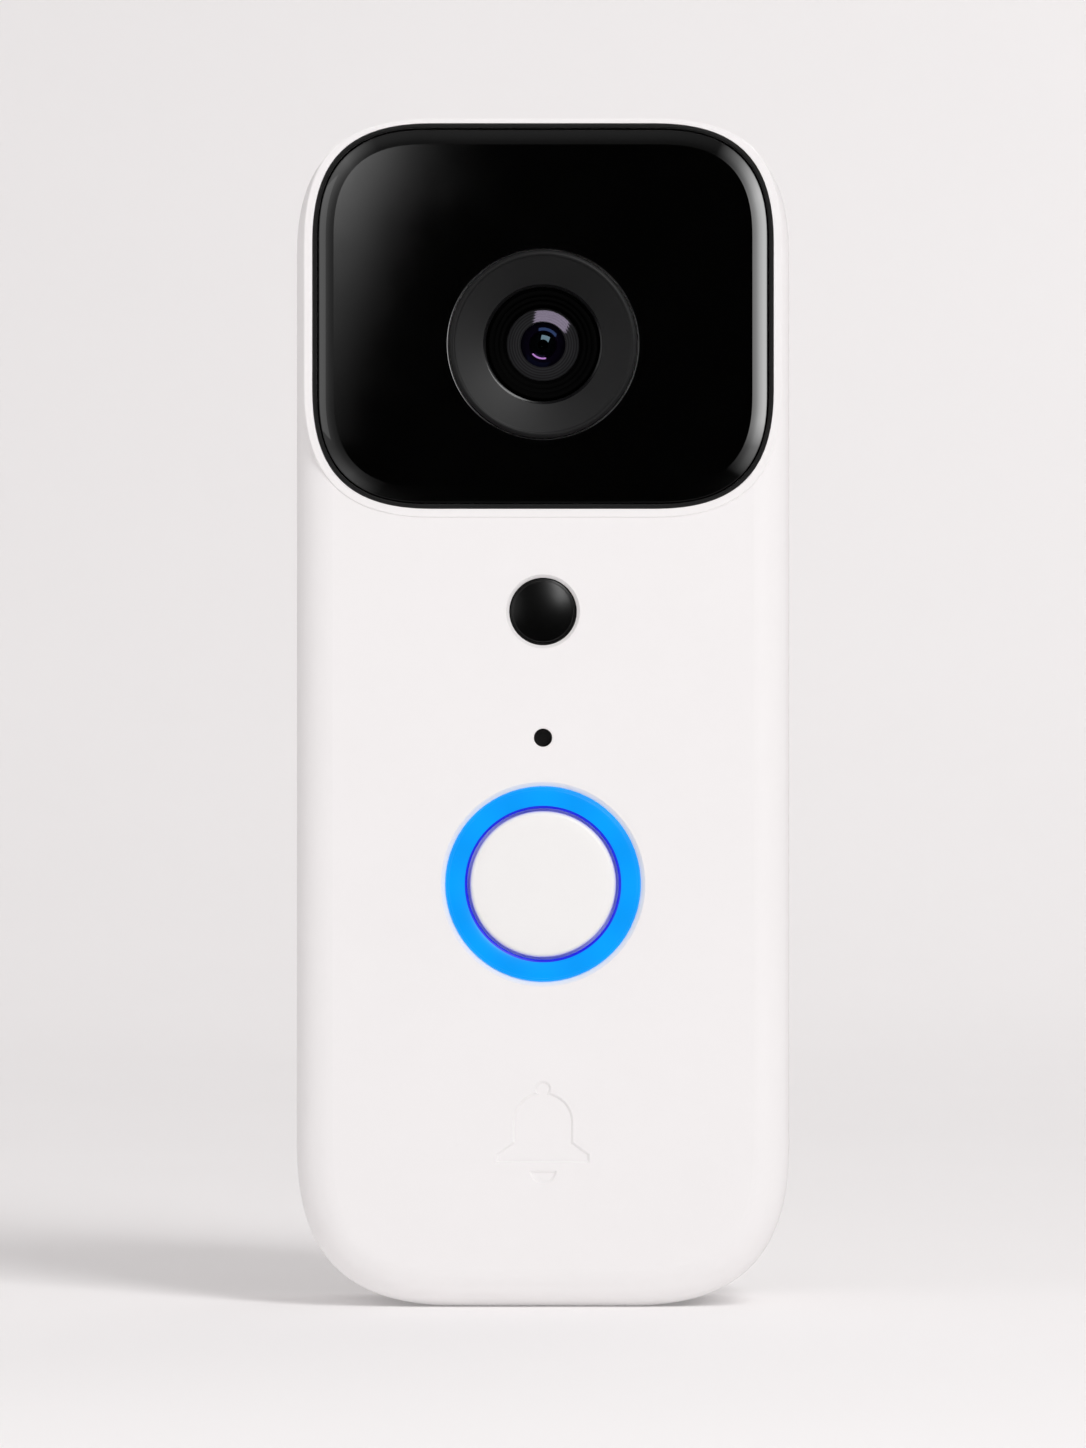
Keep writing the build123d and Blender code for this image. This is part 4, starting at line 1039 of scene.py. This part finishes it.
CARD_LEFT, CARD_RIGHT = -0.053, -0.0205
CARD_FOOT, CARD_TOP = 0.125, 0.2
GLOW_EDGE = 0.0454  # the card is brightest this far left of the centre line
GLOW_HEIGHTS = (0.1346, 0.1892)
GLOW_WIDTHS = (0.0087, 0.024)  # lit width at those heights
GLOW_FULL_HEIGHT = 0.1827
GLOW_FADE = 0.0192  # height over which the light falls to a third
GLOW_LEVEL = 2.85


def window_glow():
    """Fading card beside the camera, which the flat pane mirrors in its upper left corner."""
    deselect()
    low = Vector((CARD_LEFT, FRONT - CAMERA_DISTANCE, CARD_FOOT))
    high = Vector((CARD_RIGHT, FRONT - CAMERA_DISTANCE, CARD_TOP))
    bpy.ops.mesh.primitive_plane_add(
        size=1, location=(low + high) / 2, rotation=(-pi / 2, 0, 0)
    )
    card = bpy.context.object
    card.name = "window_glow"
    card.scale = (high.x - low.x, high.z - low.z, 1)
    bpy.ops.object.transform_apply(location=True, rotation=True, scale=True)
    glow, tree, shader, place = material("fading_card", "000000", 1.0, Specular_IOR_Level=0.0)
    across = node(tree, "ShaderNodeSeparateXYZ", Vector=place)
    # The lit width narrows and the light fades from the top down.
    width = node(
        tree,
        "ShaderNodeMapRange",
        Value=across.outputs["Z"],
        From_Min=GLOW_HEIGHTS[0],
        From_Max=GLOW_HEIGHTS[1],
        To_Min=GLOW_WIDTHS[0],
        To_Max=GLOW_WIDTHS[1],
    )
    inward = node(
        tree, "ShaderNodeMath", {"operation": "ADD"}, _0=across.outputs["X"], _1=GLOW_EDGE
    )
    share = node(
        tree,
        "ShaderNodeMath",
        {"operation": "DIVIDE"},
        _0=inward.outputs["Value"],
        _1=width.outputs["Result"],
    )
    left = node(
        tree,
        "ShaderNodeMath",
        {"operation": "SUBTRACT", "use_clamp": True},
        _0=1.0,
        _1=share.outputs["Value"],
    )
    falloff = node(
        tree, "ShaderNodeMath", {"operation": "POWER"}, _0=left.outputs["Value"], _1=2.0
    )
    height = node(
        tree,
        "ShaderNodeMapRange",
        {"clamp": False},
        Value=across.outputs["Z"],
        From_Min=GLOW_FULL_HEIGHT,
        From_Max=GLOW_FULL_HEIGHT + GLOW_FADE,
        To_Min=0.0,
        To_Max=1.0,
    )
    fade = node(
        tree, "ShaderNodeMath", {"operation": "EXPONENT"}, _0=height.outputs["Result"]
    )
    product = node(
        tree,
        "ShaderNodeMath",
        {"operation": "MULTIPLY"},
        _0=falloff.outputs["Value"],
        _1=fade.outputs["Value"],
    )
    strength = node(
        tree,
        "ShaderNodeMath",
        {"operation": "MULTIPLY"},
        _0=product.outputs["Value"],
        _1=GLOW_LEVEL,
    )
    shader.inputs["Emission Color"].default_value = linear("FFFFFF")
    tree.links.new(strength.outputs["Value"], shader.inputs["Emission Strength"])
    card.data.materials.append(glow)
    card.visible_camera = False
    card.visible_diffuse = False
    card.visible_shadow = False


def portrait_camera():
    data = bpy.data.cameras.new("portrait")
    data.sensor_fit = "VERTICAL"
    data.sensor_height = SENSOR_HEIGHT
    data.lens = data.sensor_height * CAMERA_DISTANCE / VIEW_HEIGHT
    data.clip_end = 20.0
    camera = bpy.data.objects.new("portrait", data)
    camera.location = (0, FRONT - CAMERA_DISTANCE, EYE_HEIGHT)
    camera.rotation_euler = (pi / 2, 0, 0)
    bpy.context.scene.collection.objects.link(camera)
    bpy.context.scene.camera = camera


DOME_RADIUS = 0.7
DOME_RADIANCE = 9.6
# How bright the room looks in the pane's rolled border, by the angle from straight ahead, and
# by the bearing, anticlockwise from the right. Each stop is (degrees, level).
DOME_TILTS = (
    (0, 0),
    (9, 0),
    (13, 0.2),
    (20, 0.28),
    (28, 0.46),
    (38, 0.8),
    (52, 1),
    (68, 1),
    (88, 0.45),
    (104, 0),
    (180, 0),
)
DOME_BEARINGS = (
    (-180, 0.09),
    (-160, 0.07),
    (-137, 0.12),
    (-112, 0.01),
    (-90, 0),
    (-66, 0.001),
    (-44, 0.005),
    (-20, 0.3),
    (-6, 0.95),
    (20, 1),
    (34, 0.62),
    (45, 0.3),
    (62, 0.02),
    (90, 0.03),
    (112, 0.04),
    (135, 0.2),
    (158, 0.14),
    (180, 0.09),
)


def ramp(tree, share, full_turn, stops):
    """Blends between the levels of the stops, at the share given of a full turn."""
    blend = node(tree, "ShaderNodeValToRGB", Fac=share)
    marks = blend.color_ramp.elements
    while len(marks) < len(stops):
        marks.new(0.5)
    for mark, (degrees, level) in zip(marks, stops):
        mark.position = degrees / full_turn
        mark.color = (level, level, level, 1)
    return blend.outputs["Color"]


def window_dome():
    """A clear dome round the lens that only the pane mirrors: its glow stands for the room."""
    deselect()
    bpy.ops.mesh.primitive_uv_sphere_add(
        segments=48, ring_count=24, radius=DOME_RADIUS, location=LENS
    )
    room = bpy.context.object
    room.name = "window_dome"
    glow, tree, shader, place = material("dome_glow", "000000", 1.0)
    axes = node(tree, "ShaderNodeSeparateXYZ", Vector=place)
    ahead = node(
        tree,
        "ShaderNodeMath",
        {"operation": "MULTIPLY"},
        _0=axes.outputs["Y"],
        _1=-1 / DOME_RADIUS,
    )
    tilt = node(
        tree, "ShaderNodeMath", {"operation": "ARCCOSINE"}, _0=ahead.outputs["Value"]
    )
    bearing = node(
        tree,
        "ShaderNodeMath",
        {"operation": "ARCTAN2"},
        _0=axes.outputs["Z"],
        _1=axes.outputs["X"],
    )
    tilt_share = node(
        tree, "ShaderNodeMath", {"operation": "DIVIDE"}, _0=tilt.outputs["Value"], _1=pi
    )
    # Bearings run from -180 to 180 degrees, and the ramp from 0 to 1.
    bearing_share = node(
        tree,
        "ShaderNodeMapRange",
        Value=bearing.outputs["Value"],
        From_Min=-pi,
        From_Max=pi,
    )
    outward = ramp(tree, tilt_share.outputs["Value"], 180, DOME_TILTS)
    from_left = [(degrees + 180, level) for degrees, level in DOME_BEARINGS]
    around_axis = ramp(tree, bearing_share.outputs["Result"], 360, from_left)
    share = node(
        tree, "ShaderNodeMath", {"operation": "MULTIPLY"}, _0=outward, _1=around_axis
    )
    strength = node(
        tree,
        "ShaderNodeMath",
        {"operation": "MULTIPLY"},
        _0=share.outputs["Value"],
        _1=DOME_RADIANCE,
    )
    emission = node(tree, "ShaderNodeEmission", Strength=strength.outputs["Value"])
    clear = node(tree, "ShaderNodeBsdfTransparent")
    both = node(
        tree, "ShaderNodeAddShader", _0=emission.outputs["Emission"], _1=clear.outputs["BSDF"]
    )
    surface = tree.nodes["Material Output"].inputs["Surface"]
    tree.links.new(both.outputs["Shader"], surface)
    tree.nodes.remove(shader)
    glow.cycles.emission_sampling = "NONE"
    room.data.materials.append(glow)
    lights_only(room, pane)
    room.visible_camera = False
    room.visible_diffuse = False
    room.visible_shadow = False


KEY_PLACE = (0.5, -0.9, 0.787)
KEY_SIZE = (0.35, 0.9)
AMBIENT = 0.57

sweep = studio_sweep()
shells = (NODES["front_shell"], NODES["rear_shell"])
surroundings(AMBIENT)
spares(softbox("key", KEY_PLACE, KEY_SIZE, radiance=6.9), pane, *lens_glass)
# The paper gets this much more of the key than the doorbell does.
lights_only(softbox("key_on_paper", KEY_PLACE, KEY_SIZE, radiance=3.2), sweep)
left_fill = softbox("left_fill", (-0.8, -0.55, 0.22), (0.6, 0.6), radiance=0.8)
spares(left_fill, *lens_glass)
wash = softbox(
    "backdrop_wash", (0.6, 1.5, 1.3), (1.6, 0.8), radiance=2.2, target=(0.2, 1.5, 0.1)
)
lights_only(wash, sweep)
bounce = softbox("floor_bounce", (0, -0.22, -0.7), (0.6, 0.6), radiance=0.6)
lights_only(bounce, *shells)
for soft in (wash, bounce):
    soft.data.use_shadow = False
window_dome()
upper_box = softbox(
    "upper_box", around(14.5, 37.5, 0.6), (0.46, 0.34), radiance=6.4, target=LENS, roll=-20
)
reflector(upper_box, *lens_glass)
window_glow()
portrait_camera()
bpy.context.scene.view_settings.view_transform = "Standard"
